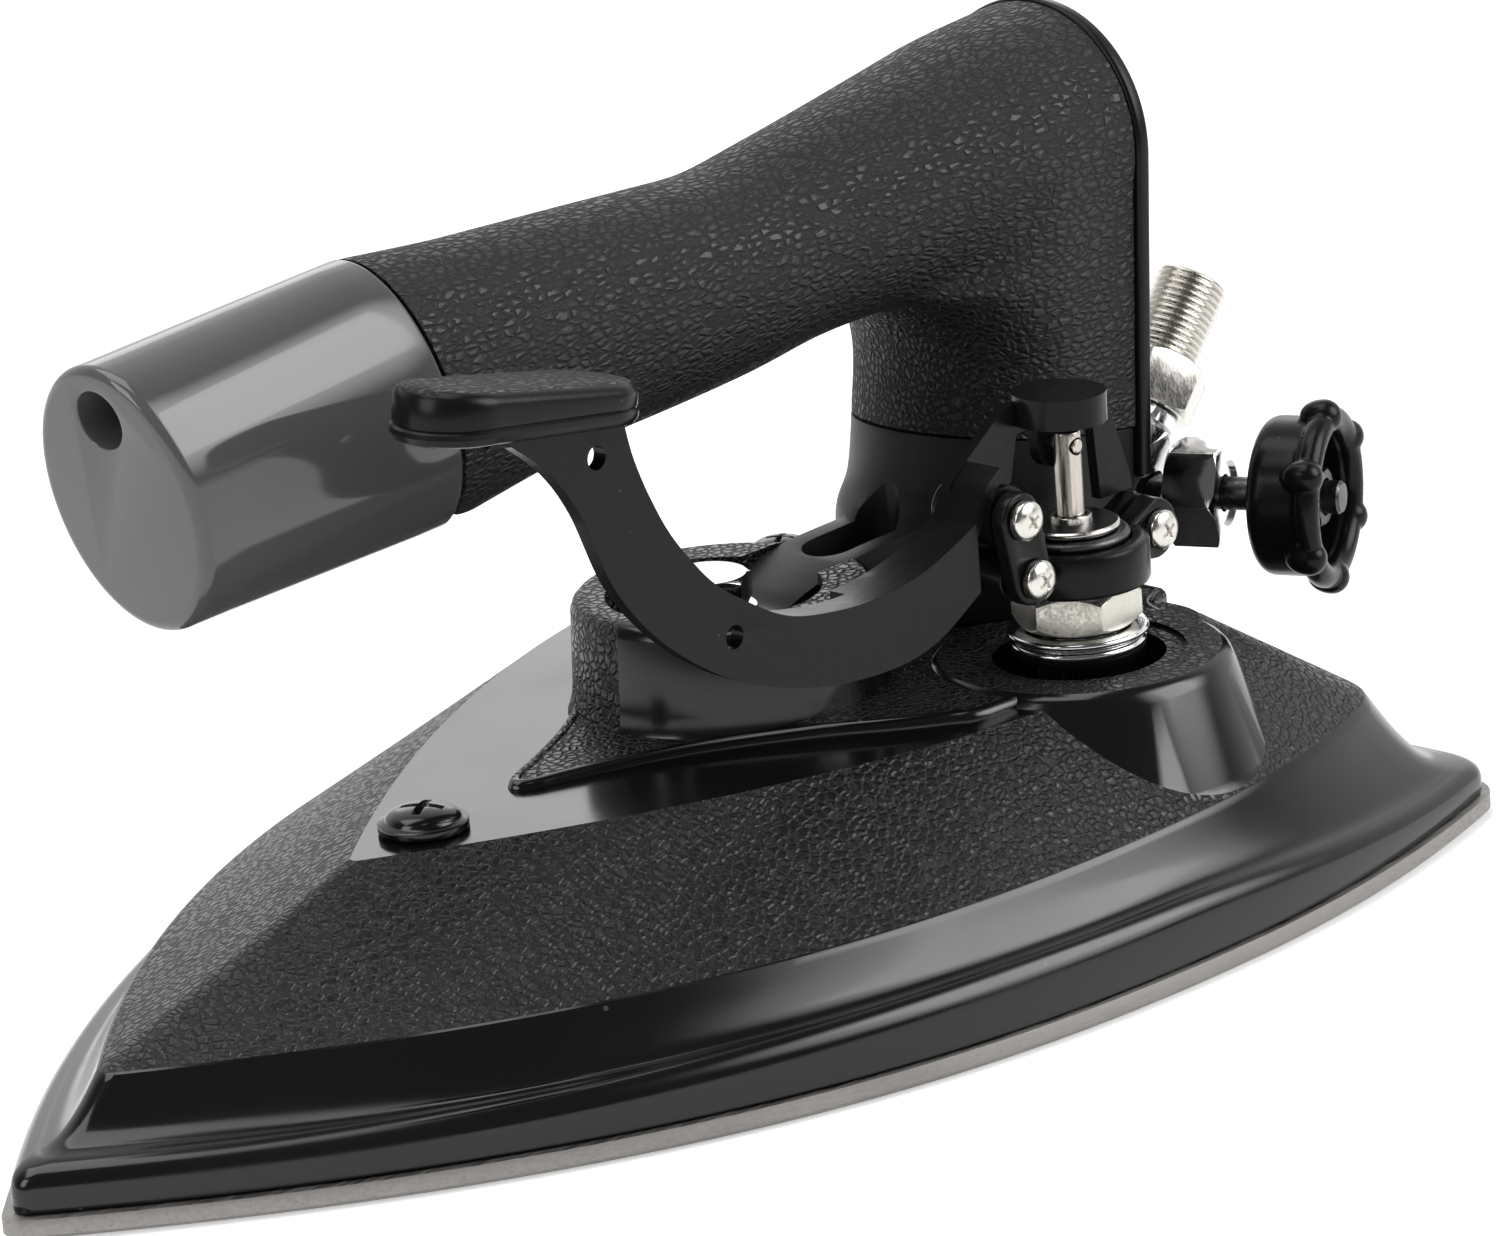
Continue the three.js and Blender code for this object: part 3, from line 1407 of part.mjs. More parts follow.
function makeHandwheel() {
  const bore = drain.spindleRadius + seat;
  const drum = turned([
    [bore, wheel.low],
    [wheel.drumRadius - wheel.drumRound, wheel.low],
    [wheel.drumRadius - wheel.drumRound / 3, wheel.low + wheel.drumRound / 3],
    [wheel.drumRadius, wheel.low + wheel.drumRound],
    [wheel.drumRadius, wheel.high],
    [wheel.recessRadius, wheel.high],
    [wheel.recessRadius, wheel.recessFloor],
    [wheel.hubRadius, wheel.recessFloor],
    [wheel.hubRadius, wheel.high - wheel.nutThickness],
    [bore, wheel.high - wheel.nutThickness],
    [bore, wheel.low],
  ], largeSides);
  const rim = new THREE.TorusGeometry(wheel.rimRadius, wheel.rimThickness, wheel.rimSides, largeSides)
    .translate(0, 0, wheel.rimHeight);
  const lugs = Array.from({ length: wheel.lugs }, (_, lug) => {
    const angle = (2 * Math.PI * lug) / wheel.lugs;
    return new THREE.SphereGeometry(wheel.lugRadius, wheel.lugSides, wheel.lugRings).translate(
      wheel.lugReach * Math.cos(angle),
      wheel.lugReach * Math.sin(angle),
      wheel.rimHeight,
    );
  });
  return join(drum, rim, ...lugs);
}

function makeWheelNut() {
  const low = wheel.high - wheel.nutThickness + seat;
  const nut = hexBar(wheel.nutAcrossFlats, low, low + wheel.nutThickness, wheel.nutEdge);
  return cut(nut, rod(drain.spindleRadius + seat, 0, low + wheel.nutThickness + overrun));
}

// Assembly: nested groups hold what shares an axis or a pivot

const iron = new THREE.Group();

iron.add(piece('soleplate', makeSoleplate(), finish.soleMetal));
iron.add(piece('chamber_gasket', makeChamberGasket(), finish.gasket));
iron.add(piece('chamber_lid', makeChamberLid(), finish.castMetal));
lidScrewPlaces.forEach(({ x, y }, index) => {
  const screw = piece(`lid_screw_${index + 1}`, makeLidScrew(), finish.darkSteel);
  screw.position.set(x, y, 0);
  iron.add(screw);
});
iron.add(piece('cover', makeCover(), finish.coverBlack));
coverScrewPlaces().forEach((place, index) => {
  const name = ['cover_screw_front', 'cover_screw_rear'][index];
  const screw = piece(name, makeCoverScrew(place), finish.leverBlack);
  screw.position.set(place.x, place.y, 0);
  iron.add(screw);
});

const handle = new THREE.Group();
handle.add(piece('handle_bracket', makeHandleBracket(), finish.bracketBlack));
handle.add(piece('front_washer', makeFrontWasher(), finish.chrome));
handle.add(piece('front_bolt', makeFrontBolt(), finish.chrome));
const studShape = rod(stud.radius, stud.low, stud.high).translate(stud.x, 0, 0);
handle.add(piece('handle_stud', studShape, finish.darkSteel));
handle.add(piece('handle_grip', makeHandleGrip(), finish.gripBlack));
handle.add(piece('handle_cap', makeHandleCap(), finish.capGrey));
handle.add(piece('cap_screw', makeCapScrew(), finish.darkSteel));
handle.add(piece('back_plate', makeBackPlate(), finish.leverBlack));
handle.add(piece('rear_block', makeRearBlock(), finish.gripBlack));
handle.add(piece('plate_screw', makePlateScrew(), finish.darkSteel));
iron.add(handle);

const steamValve = new THREE.Group();
steamValve.position.set(valve.x, valve.y, 0);
steamValve.add(piece('valve_body', makeValveBody(), finish.chrome));
const washerShape = tube(washer.radius, valve.threadRadius + seat, washer.low,
  washer.low + washer.thickness, largeSides);
steamValve.add(piece('valve_washer', washerShape, finish.chrome));
steamValve.add(piece('valve_nut', makeValveNut(), finish.nutMetal));
steamValve.add(piece('clamp_ring', makeClampRing(), finish.leverBlack));
const clampScrewShape = makeCrossScrew(clamp.earReach, clamp.earHeight, -clamp.earHalfWidth - seat,
  clamp.earHalfWidth + pivot.tail);
steamValve.add(piece('clamp_screw', clampScrewShape, finish.nickel));
steamValve.add(piece('valve_bonnet', makeBonnet(), finish.darkSteel));
steamValve.add(piece('gland_disc', makeGlandDisc(), finish.darkSteel));
steamValve.add(piece('valve_stem', makeStem(), finish.nickel));
steamValve.add(piece('valve_plug', makePlug(), finish.brass));
steamValve.add(piece('valve_spring', makeValveSpring(), finish.nickel));
steamValve.add(piece('stem_pin', makeStemPin(), finish.darkSteel));
iron.add(steamValve);

const leverPivot = new THREE.Group();
leverPivot.position.set(link.upperX, valve.y, link.upperZ);
const outside = lever.halfWidth + seat;
leverPivot.add(piece('link_plate_near', makeLinkPlate(-outside - link.thickness), finish.leverBlack));
leverPivot.add(piece('link_plate_far', makeLinkPlate(outside), finish.leverBlack));
const headY = -outside - link.thickness - seat;
const tailY = outside + link.thickness + pivot.tail;
leverPivot.add(piece('link_screw_upper', makeCrossScrew(0, 0, headY, tailY), finish.nickel));
const lowerScrewShape = makeCrossScrew(link.lowerX - link.upperX, link.lowerZ - link.upperZ, headY, tailY);
leverPivot.add(piece('link_screw_lower', lowerScrewShape, finish.nickel));
leverPivot.add(piece('thumb_lever', makeThumbLever(), finish.leverBlack));
const thumbPad = piece('thumb_pad', makeThumbPad(), finish.gripBlack);
thumbPad.position.set(pad.x, 0, pad.z + pad.thickness);
thumbPad.rotation.y = pad.tilt;
leverPivot.add(thumbPad);
iron.add(leverPivot);

const inlet = new THREE.Group();
inlet.position.set(fitting.x, 0, fitting.z);
inlet.add(piece('steam_fitting', makeSteamFitting(), finish.chrome));
const inletNipple = piece('inlet_nipple', makeInletNipple(), finish.nickel);
inletNipple.rotation.copy(inletTurn);
inlet.add(inletNipple);
const drainAxis = new THREE.Group();
drainAxis.rotation.copy(branchTurn);
drainAxis.add(piece('drain_nut', makeDrainNut(), finish.nickel));
drainAxis.add(piece('drain_disc', makeDrainDisc(), finish.brass));
drainAxis.add(piece('drain_spindle', makeDrainSpindle(), finish.nickel));
drainAxis.add(piece('handwheel', makeHandwheel(), finish.bracketBlack));
drainAxis.add(piece('wheel_nut', makeWheelNut(), finish.darkSteel));
inlet.add(drainAxis);
iron.add(inlet);

export default iron;
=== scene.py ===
"""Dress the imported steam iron: smooth pieces, finishes, a studio and the photograph's camera."""

import json
import math

import bmesh
import bpy
from bpy.props import FloatProperty, FloatVectorProperty, IntProperty, PointerProperty
from bpy.types import Operator, Panel, PropertyGroup
from mathutils import Euler, Matrix, Vector

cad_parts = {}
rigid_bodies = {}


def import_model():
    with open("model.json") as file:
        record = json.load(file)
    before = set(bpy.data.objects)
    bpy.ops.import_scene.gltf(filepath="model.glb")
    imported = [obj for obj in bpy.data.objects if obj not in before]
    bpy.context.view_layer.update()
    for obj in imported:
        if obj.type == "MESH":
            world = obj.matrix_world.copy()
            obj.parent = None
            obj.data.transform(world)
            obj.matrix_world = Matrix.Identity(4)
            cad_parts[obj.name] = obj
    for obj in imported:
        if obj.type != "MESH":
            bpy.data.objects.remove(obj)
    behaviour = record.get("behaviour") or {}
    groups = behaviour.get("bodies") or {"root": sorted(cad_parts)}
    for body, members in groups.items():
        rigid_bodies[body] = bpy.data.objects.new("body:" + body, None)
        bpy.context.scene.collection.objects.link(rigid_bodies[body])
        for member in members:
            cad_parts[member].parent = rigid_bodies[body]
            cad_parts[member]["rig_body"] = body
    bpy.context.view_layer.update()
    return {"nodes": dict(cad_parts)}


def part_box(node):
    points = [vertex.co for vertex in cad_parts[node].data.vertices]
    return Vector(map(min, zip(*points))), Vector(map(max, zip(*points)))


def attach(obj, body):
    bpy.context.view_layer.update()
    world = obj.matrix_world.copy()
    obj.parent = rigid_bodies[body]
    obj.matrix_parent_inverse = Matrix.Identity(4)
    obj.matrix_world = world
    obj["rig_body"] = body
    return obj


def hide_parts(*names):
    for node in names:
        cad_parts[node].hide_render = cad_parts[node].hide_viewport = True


bl_info = {
    "name": "Boiler-fed steam iron",
    "version": (1, 0, 0),
    "blender": (4, 5, 0),
    "location": "View3D > Sidebar > Steam iron",
    "description": "Models the pieces of a steam iron and its studio round a packed frame",
    "category": "Add Mesh",
}

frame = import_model()

# Shared fits and counts
SEAT = 0.0003
OVERRUN = 0.002
ROUND_STEPS = 96
SMALL_STEPS = 40
SMOOTH_ANGLE = math.radians(32)
BEVEL_ANGLE = math.radians(28)

# Places that several pieces share
FRONT_X = 0.0157
VALVE = Vector((0.0508, -0.030, 0))
UPPER_PIVOT = Vector((0.035, -0.030, 0.0555))
LOWER_PIVOT = Vector((0.0367, -0.030, 0.0474))
FITTING = Vector((0.091, 0, 0.0393))
INLET_TURN = Euler((0, 0.6984, 0)).to_matrix().to_4x4()
DRAIN_TURN = Euler((0, math.pi / 2, -1.1698), "XYZ").to_matrix().to_4x4()
FACET_SLOPE = 0.0297
GRIP_HALF_WIDTH = 0.0178
PLATE = {"x": 0.0775, "z": 0.048, "lean": 0.0714, "thickness": 0.0022}


def metres(name, description, default):
    """Property for a length in metres."""
    return FloatProperty(name=name, description=description, default=default, unit="LENGTH")


def colour(name, description, default):
    return FloatVectorProperty(name=name, description=description, default=default, size=3, subtype="COLOR")


# Outlines and other lists of points


def spline(points, steps):
    """Smooth line through points, with an even number of steps between each pair."""
    line = []
    for index in range(len(points) - 1):
        before = Vector(points[max(index - 1, 0)])
        start, end = Vector(points[index]), Vector(points[index + 1])
        after = Vector(points[min(index + 2, len(points) - 1)])
        for step in range(steps):
            t = step / steps
            pull_in, pull_out = (end - before) / 2, (after - start) / 2
            line.append(
                start * (2 * t ** 3 - 3 * t ** 2 + 1) + pull_in * (t ** 3 - 2 * t ** 2 + t)
                + end * (3 * t ** 2 - 2 * t ** 3) + pull_out * (t ** 3 - t ** 2)
            )
    line.append(Vector(points[-1]))
    return line


def arc(centre, radius, start, end, steps=12):
    """Points of an arc; the angles are in degrees."""
    turn = [math.radians(start + (end - start) * step / steps) for step in range(steps + 1)]
    return [(centre[0] + radius * math.cos(a), centre[1] + radius * math.sin(a)) for a in turn]


def oblong(start, end, radius, steps=14):
    """Outline round two circles of one radius."""
    along = math.degrees(math.atan2(end[1] - start[1], end[0] - start[0]))
    return [*arc(end, radius, along - 90, along + 90, steps),
            *arc(start, radius, along + 90, along + 270, steps)]


def strip(line, thickness):
    """Band of even thickness below a line of points."""
    below = []
    for index, (x, z) in enumerate(line):
        before = line[max(index - 1, 0)]
        after = line[min(index + 1, len(line) - 1)]
        along = (Vector(after) - Vector(before)).normalized()
        below.append((x + along[1] * thickness, z - along[0] * thickness))
    return [*line, *reversed(below)]


def half_width(size, x):
    """Half width of a boat-shaped outline at one place along it."""
    if x < size["widest_x"]:
        ahead = (size["widest_x"] - x) / (size["widest_x"] - size["nose_x"])
        return size["half_width"] * (1 - ahead ** size["power"])
    behind = (x - size["widest_x"]) / (size["rear_x"] - size["widest_x"])
    return size["half_width"] - (size["half_width"] - size["rear_half"]) * behind ** 2


def boat_outline(size, nose_steps=8, side_steps=44, rear_steps=12, corner_steps=8):
    """Pointed nose, curved sides and a straight rear edge between rounded corners."""
    front_length = size["widest_x"] - size["nose_x"]
    nose_radius, corner_radius = size["nose_radius"], size["corner_radius"]
    nose_angle = math.atan(size["power"] * size["half_width"] / front_length)
    apex_x = size["nose_x"] - nose_radius * (1 / math.sin(nose_angle) - 1)
    half = []
    for step in range(nose_steps + 1):
        angle = (math.pi / 2 - nose_angle) * step / nose_steps
        half.append((size["nose_x"] + nose_radius * (1 - math.cos(angle)), nose_radius * math.sin(angle)))
    start = (half[-1][0] - apex_x) / (size["widest_x"] - apex_x)
    for step in range(1, side_steps + 1):
        share = start + (1 - start) * step / side_steps
        x = apex_x + (size["widest_x"] - apex_x) * share
        half.append((x, size["half_width"] * (1 - max(0, 1 - share) ** size["power"])))
    slope = 2 * (size["half_width"] - size["rear_half"]) / (size["rear_x"] - size["widest_x"])
    corner_turn = math.pi / 2 - math.atan(slope)
    corner_x = size["rear_x"] - corner_radius
    side_end = corner_x + corner_radius * math.cos(corner_turn)
    corner_y = half_width(size, side_end) - corner_radius * math.sin(corner_turn)
    for step in range(1, rear_steps + 1):
        x = size["widest_x"] + (side_end - size["widest_x"]) * step / rear_steps
        half.append((x, half_width(size, x)))
    for step in range(1, corner_steps + 1):
        angle = corner_turn * (1 - step / corner_steps)
        half.append((corner_x + corner_radius * math.cos(angle), corner_y + corner_radius * math.sin(angle)))
    return [*[(x, -y) for x, y in half], *reversed(half[1:])]


def ring_at(outline, height):
    """Ring of places over an outline, at one height or at a height that follows x."""
    height_at = height if callable(height) else lambda _: height
    return [(x, y, height_at(x)) for x, y in outline]


# Modelling steps


def deselect():
    if bpy.context.object and bpy.context.object.mode != "OBJECT":
        bpy.ops.object.mode_set(mode="OBJECT")
    bpy.ops.object.select_all(action="DESELECT")


def activate(piece):
    deselect()
    piece.select_set(True)
    bpy.context.view_layer.objects.active = piece


def edit(piece):
    """Open a piece in edit mode with everything on it selected."""
    activate(piece)
    bpy.ops.object.mode_set(mode="EDIT")
    bpy.ops.mesh.select_all(action="SELECT")


def close_up():
    """Merge doubles, face everything outwards and leave edit mode."""
    bpy.ops.mesh.select_all(action="SELECT")
    bpy.ops.mesh.remove_doubles(threshold=1e-6)
    bpy.ops.mesh.normals_make_consistent(inside=False)
    bpy.ops.object.mode_set(mode="OBJECT")


def wire(places, closed):
    """Add a circle of as many corners and move them to their places; an open line loses one edge."""
    deselect()
    bpy.ops.mesh.primitive_circle_add(vertices=len(places), radius=1, fill_type="NOTHING")
    piece = bpy.context.object
    for vertex, place in zip(piece.data.vertices, places):
        vertex.co = place
    if not closed:
        edit(piece)
        mesh = bmesh.from_edit_mesh(piece.data)
        mesh.verts.ensure_lookup_table()
        mesh.edges.remove(mesh.edges.get((mesh.verts[0], mesh.verts[len(places) - 1])))
        bmesh.update_edit_mesh(piece.data)
    return piece


def turned(profile, steps=ROUND_STEPS, closed=False):
    """Spin a line of (radius, height) pairs round Z."""
    piece = wire([(radius, 0, height) for radius, height in profile], closed)
    edit(piece)
    bpy.ops.mesh.spin(steps=steps, angle=2 * math.pi, center=(0, 0, 0), axis=(0, 0, 1))
    close_up()
    return piece


def rod(radius, low, high, steps=SMALL_STEPS):
    return turned([(0, low), (radius, low), (radius, high), (0, high)], steps)


def slab(outline, near, far):
    """Extrude an outline in X and Z along Y between two places."""
    piece = wire([(x, near, z) for x, z in outline], closed=True)
    edit(piece)
    bpy.ops.mesh.edge_face_add()
    bpy.ops.mesh.extrude_region_move(TRANSFORM_OT_translate={"value": (0, far - near, 0)})
    close_up()
    return piece


def skinned(rings):
    """Extrude a ring of edges from one list of places to the next and close both ends."""
    piece = wire(rings[0], closed=True)
    edit(piece)
    bpy.ops.mesh.edge_face_add()
    for ring in rings[1:]:
        bpy.ops.mesh.extrude_region_move()
        mesh = bmesh.from_edit_mesh(piece.data)
        start = [vertex for vertex in mesh.verts if vertex.select]
        for vertex, place in zip(start, ring):
            vertex.co = place
        bmesh.update_edit_mesh(piece.data)
    close_up()
    return piece


def moved(piece, placing):
    """Turn or move a piece and keep its object at the origin."""
    activate(piece)
    piece.matrix_world = placing @ piece.matrix_world
    bpy.ops.object.transform_apply(location=True, rotation=True, scale=True)
    return piece


def shifted(piece, x=0, y=0, z=0):
    return moved(piece, Matrix.Translation((x, y, z)))


def along_x(piece, place):
    """Turn a piece that was made round Z so that its top faces +X, and move it to a place."""
    return moved(piece, Matrix.Translation(place) @ Matrix.Rotation(math.pi / 2, 4, "Y"))


def along_y(piece):
    """Turn a piece that was made round Z so that its top faces -Y."""
    return moved(piece, Matrix.Rotation(math.pi / 2, 4, "X"))


def modified(piece, kind, **settings):
    """Add a modifier with its settings and apply it."""
    activate(piece)
    bpy.ops.object.modifier_add(type=kind)
    modifier = piece.modifiers[-1]
    for setting, value in settings.items():
        setattr(modifier, setting, value)
    bpy.ops.object.modifier_apply(modifier=modifier.name)
    return piece


def softened(piece, width, steps=3):
    """Round every edge that is sharper than the bevel angle."""
    return modified(piece, "BEVEL", width=width, segments=steps, limit_method="ANGLE",
                    angle_limit=BEVEL_ANGLE, use_clamp_overlap=True)


def combined(piece, operation, others):
    for other in others:
        modified(piece, "BOOLEAN", operation=operation, solver="EXACT", object=other)
        bpy.data.objects.remove(other)
    return piece


def united(piece, *others):
    return combined(piece, "UNION", others)


def carved(piece, *tools):
    return combined(piece, "DIFFERENCE", tools)


def joined(piece, *others):
    """Put several closed shapes in one object without cutting them."""
    activate(piece)
    for other in others:
        other.select_set(True)
    bpy.ops.object.join()
    return piece


def bisected(piece, place, normal):
    """Cut a piece by a plane, drop what lies beyond it and close the cut."""
    edit(piece)
    bpy.ops.mesh.bisect(plane_co=place, plane_no=normal, clear_outer=True, use_fill=True)
    close_up()
    return piece


def finish_named(name):
    return bpy.data.materials[name + "_finish"]


def two_tone(piece, first, second, takes_second):
    """Give a piece two finishes; the rule says which of its faces take the second one."""
    piece.data.materials.clear()
    piece.data.materials.append(finish_named(first))
    piece.data.materials.append(finish_named(second))
    for polygon in piece.data.polygons:
        polygon.material_index = int(takes_second(polygon))


def delivered(piece, name, finish, slot, *nodes):
    """Name a finished piece, give it its finish and let it stand for its CAD nodes."""
    activate(piece)
    piece.name = name
    piece.data.name = name
    if finish is not None:
        piece.data.materials.clear()
        piece.data.materials.append(finish_named(finish))
    bpy.ops.object.shade_smooth_by_angle(angle=SMOOTH_ANGLE)
    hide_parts(*nodes)
    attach(piece, frame["nodes"][nodes[0]]["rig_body"])
    return piece


# Shader groups


def new_group(name, inputs, outputs):
    """Empty shader group with named sockets; each input is (name, kind, default)."""
    group = bpy.data.node_groups.new(name, "ShaderNodeTree")
    for socket, kind, default in inputs:
        made = group.interface.new_socket(socket, in_out="INPUT", socket_type=kind)
        if default is not None:
            made.default_value = default
    for socket, kind in outputs:
        group.interface.new_socket(socket, in_out="OUTPUT", socket_type=kind)
    return group, group.nodes.new("NodeGroupInput"), group.nodes.new("NodeGroupOutput")


def node(tree, kind, links=(), **settings):
    """Add a node; links maps an input's name or number to an output or a value."""
    made = tree.nodes.new(kind)
    for setting, value in settings.items():
        setattr(made, setting, value)
    for socket, source in dict(links).items():
        if isinstance(source, bpy.types.NodeSocket):
            tree.links.new(source, made.inputs[socket])
        else:
            made.inputs[socket].default_value = source
    return made


def math_node(tree, operation, *sources):
    return node(tree, "ShaderNodeMath", enumerate(sources), operation=operation).outputs[0]


def grain_group():
    """Moulded leather grain: pebbles between narrow creases."""
    group, enter, leave = new_group(
        "Leather grain",
        [("Vector", "NodeSocketVector", None), ("Cells per metre", "NodeSocketFloat", 520.0),
         ("Crease width", "NodeSocketFloat", 0.12), ("Wander", "NodeSocketFloat", 0.5)],
        [("Height", "NodeSocketFloat"), ("Crease", "NodeSocketFloat")],
    )
    vector, cells = enter.outputs["Vector"], enter.outputs["Cells per metre"]
    scaled = node(group, "ShaderNodeVectorMath", {0: vector}, operation="SCALE")
    group.links.new(cells, scaled.inputs["Scale"])
    bend = node(group, "ShaderNodeTexNoise", {"Vector": scaled.outputs[0], "Scale": 0.9, "Detail": 2.0})
    centred = node(group, "ShaderNodeVectorMath", {0: bend.outputs["Color"], 1: (0.5, 0.5, 0.5)},
                   operation="SUBTRACT")
    wander = node(group, "ShaderNodeVectorMath", {0: centred.outputs[0]}, operation="SCALE")
    group.links.new(enter.outputs["Wander"], wander.inputs["Scale"])
    place = node(group, "ShaderNodeVectorMath", {0: scaled.outputs[0], 1: wander.outputs[0]}, operation="ADD")
    edges = node(group, "ShaderNodeTexVoronoi", {"Vector": place.outputs[0], "Scale": 1.0, "Randomness": 0.9},
                 feature="DISTANCE_TO_EDGE")
    pebble = node(group, "ShaderNodeMapRange",
                  {"Value": edges.outputs["Distance"], "From Min": 0.0, "To Min": 0.0, "To Max": 1.0},
                  interpolation_type="SMOOTHSTEP")
    group.links.new(enter.outputs["Crease width"], pebble.inputs["From Max"])
    fine = node(group, "ShaderNodeTexNoise", {"Vector": scaled.outputs[0], "Scale": 3.5, "Detail": 3.0})
    level = node(group, "ShaderNodeTexVoronoi", {"Vector": place.outputs[0], "Scale": 1.0, "Randomness": 0.9})
    brightness = node(group, "ShaderNodeSeparateColor", {"Color": level.outputs["Color"]})
    lumps = math_node(group, "MULTIPLY_ADD", fine.outputs["Fac"], 0.25, pebble.outputs["Result"])
    height = math_node(group, "MULTIPLY_ADD", brightness.outputs[0], 0.25, lumps)
    group.links.new(height, leave.inputs["Height"])
    crease = math_node(group, "SUBTRACT", 1.0, pebble.outputs["Result"])
    group.links.new(crease, leave.inputs["Crease"])
    return group


def specks_group():
    """Sparse dust and small marks, and a slow change over the surface."""
    group, enter, leave = new_group(
        "Specks",
        [("Vector", "NodeSocketVector", None), ("Amount", "NodeSocketFloat", 0.02),
         ("Per metre", "NodeSocketFloat", 700.0)],
        [("Dust", "NodeSocketFloat"), ("Film", "NodeSocketFloat")],
    )
    dots = node(group, "ShaderNodeTexVoronoi", {"Vector": enter.outputs["Vector"], "Randomness": 1.0})
    group.links.new(enter.outputs["Per metre"], dots.inputs["Scale"])
    chance = node(group, "ShaderNodeSeparateColor", {"Color": dots.outputs["Color"]})
    chosen = math_node(group, "LESS_THAN", chance.outputs[0], enter.outputs["Amount"])
    small = math_node(group, "LESS_THAN", dots.outputs["Distance"], 0.16)
    group.links.new(math_node(group, "MULTIPLY", chosen, small), leave.inputs["Dust"])
    film = node(group, "ShaderNodeTexNoise", {"Vector": enter.outputs["Vector"], "Scale": 55.0, "Detail": 4.0})
    group.links.new(film.outputs["Fac"], leave.inputs["Film"])
    return group


def tooling_group():
    """Fine parallel lines left by a tool; the vector is stretched before it comes in."""
    group, enter, leave = new_group(
        "Tool lines",
        [("Vector", "NodeSocketVector", None), ("Lines per metre", "NodeSocketFloat", 3000.0)],
        [("Lines", "NodeSocketFloat"), ("Stain", "NodeSocketFloat")],
    )
    lines = node(group, "ShaderNodeTexNoise", {"Vector": enter.outputs["Vector"], "Detail": 3.0,
                                               "Roughness": 0.7})
    group.links.new(enter.outputs["Lines per metre"], lines.inputs["Scale"])
    stain = node(group, "ShaderNodeTexNoise", {"Vector": enter.outputs["Vector"], "Scale": 120.0,
                                               "Detail": 5.0})
    group.links.new(lines.outputs["Fac"], leave.inputs["Lines"])
    group.links.new(stain.outputs["Fac"], leave.inputs["Stain"])
    return group


class Finish:
    """A material under construction: its tree, its Principled shader and its Object coordinates."""

    def __init__(self, name, color, roughness=0.5, metallic=0.0, specular=0.5):
        self.material = bpy.data.materials.new(name + "_finish")
        self.material.use_nodes = True
        self.tree = self.material.node_tree
        self.shader = self.tree.nodes["Principled BSDF"]
        self.color = (*color, 1.0)
        self.shader.inputs["Base Color"].default_value = self.color
        self.shader.inputs["Roughness"].default_value = roughness
        self.shader.inputs["Metallic"].default_value = metallic
        self.shader.inputs["Specular IOR Level"].default_value = specular
        self.place = self.tree.nodes.new("ShaderNodeTexCoord").outputs["Object"]

    def stretched(self, scale, turn=(0, 0, 0)):
        mapping = node(self.tree, "ShaderNodeMapping", {"Vector": self.place, "Rotation": turn, "Scale": scale})
        return mapping.outputs[0]

    def group(self, name, vector, **values):
        made = node(self.tree, "ShaderNodeGroup", node_tree=bpy.data.node_groups[name])
        self.tree.links.new(vector, made.inputs["Vector"])
        for socket, value in values.items():
            made.inputs[socket.replace("_", " ")].default_value = value
        return made

    def ranged(self, source, low, high, start=0.0, end=1.0):
        return node(self.tree, "ShaderNodeMapRange", {"Value": source, "From Min": start, "From Max": end,
                                                      "To Min": low, "To Max": high}).outputs["Result"]

    def mixed(self, mask, other):
        """Mix the base colour with another one by a mask and put it on the shader."""
        mix = node(self.tree, "ShaderNodeMix", {"Factor": mask}, data_type="RGBA")
        source = self.shader.inputs["Base Color"]
        if source.is_linked:
            self.tree.links.new(source.links[0].from_socket, mix.inputs["A"])
        else:
            mix.inputs["A"].default_value = self.color
        mix.inputs["B"].default_value = (*other, 1.0)
        self.tree.links.new(mix.outputs["Result"], source)

    def rough(self, source):
        self.tree.links.new(source, self.shader.inputs["Roughness"])

    def noise(self, scale, detail):
        made = node(self.tree, "ShaderNodeTexNoise", {"Vector": self.place, "Scale": scale, "Detail": detail})
        return made.outputs["Fac"]

    def bump(self, height, distance, strength=1.0):
        bump = node(self.tree, "ShaderNodeBump", {"Height": height, "Distance": distance, "Strength": strength})
        normal = self.shader.inputs["Normal"]
        if normal.is_linked:
            self.tree.links.new(normal.links[0].from_socket, bump.inputs["Normal"])
        self.tree.links.new(bump.outputs[0], normal)


# Finishes


def coated(name, color, specular, specks, film, dust, wave):
    """Smooth coat of one colour.

    specks gives their amount and number per metre, film the roughness's two ends, dust its share and grey,
    and wave the scale, detail, distance and strength of the bumps.
    """
    finish = Finish(name, color, specular=specular)
    marks = finish.group("Specks", finish.place, Amount=specks[0], Per_metre=specks[1])
    finish.rough(finish.ranged(marks.outputs["Film"], *film, 0.3, 0.7))
    if dust:
        finish.mixed(finish.ranged(marks.outputs["Dust"], 0.0, dust[0]), (dust[1],) * 3)
    scale, detail, distance, strength = wave
    finish.bump(finish.noise(scale, detail), distance, strength)


def grained(name, color, specular, cells, crease, wander, rough, dark, stretch=None):
    """Moulded leather grain whose creases are rougher and carry painted shade, darkened towards near black."""
    finish = Finish(name, color, specular=specular)
    place = finish.stretched(stretch) if stretch else finish.place
    grain = finish.group("Leather grain", place, Cells_per_metre=cells, Crease_width=crease, Wander=wander)
    finish.rough(finish.ranged(grain.outputs["Crease"], *rough))
    finish.bump(grain.outputs["Height"], 0.0002, 1.0)
    # Painted shade in the creases: the crease mask mixes the base colour towards near black
    finish.mixed(finish.ranged(grain.outputs["Crease"], 0.0, dark, 0.3, 1.0), (0.001, 0.001, 0.001))


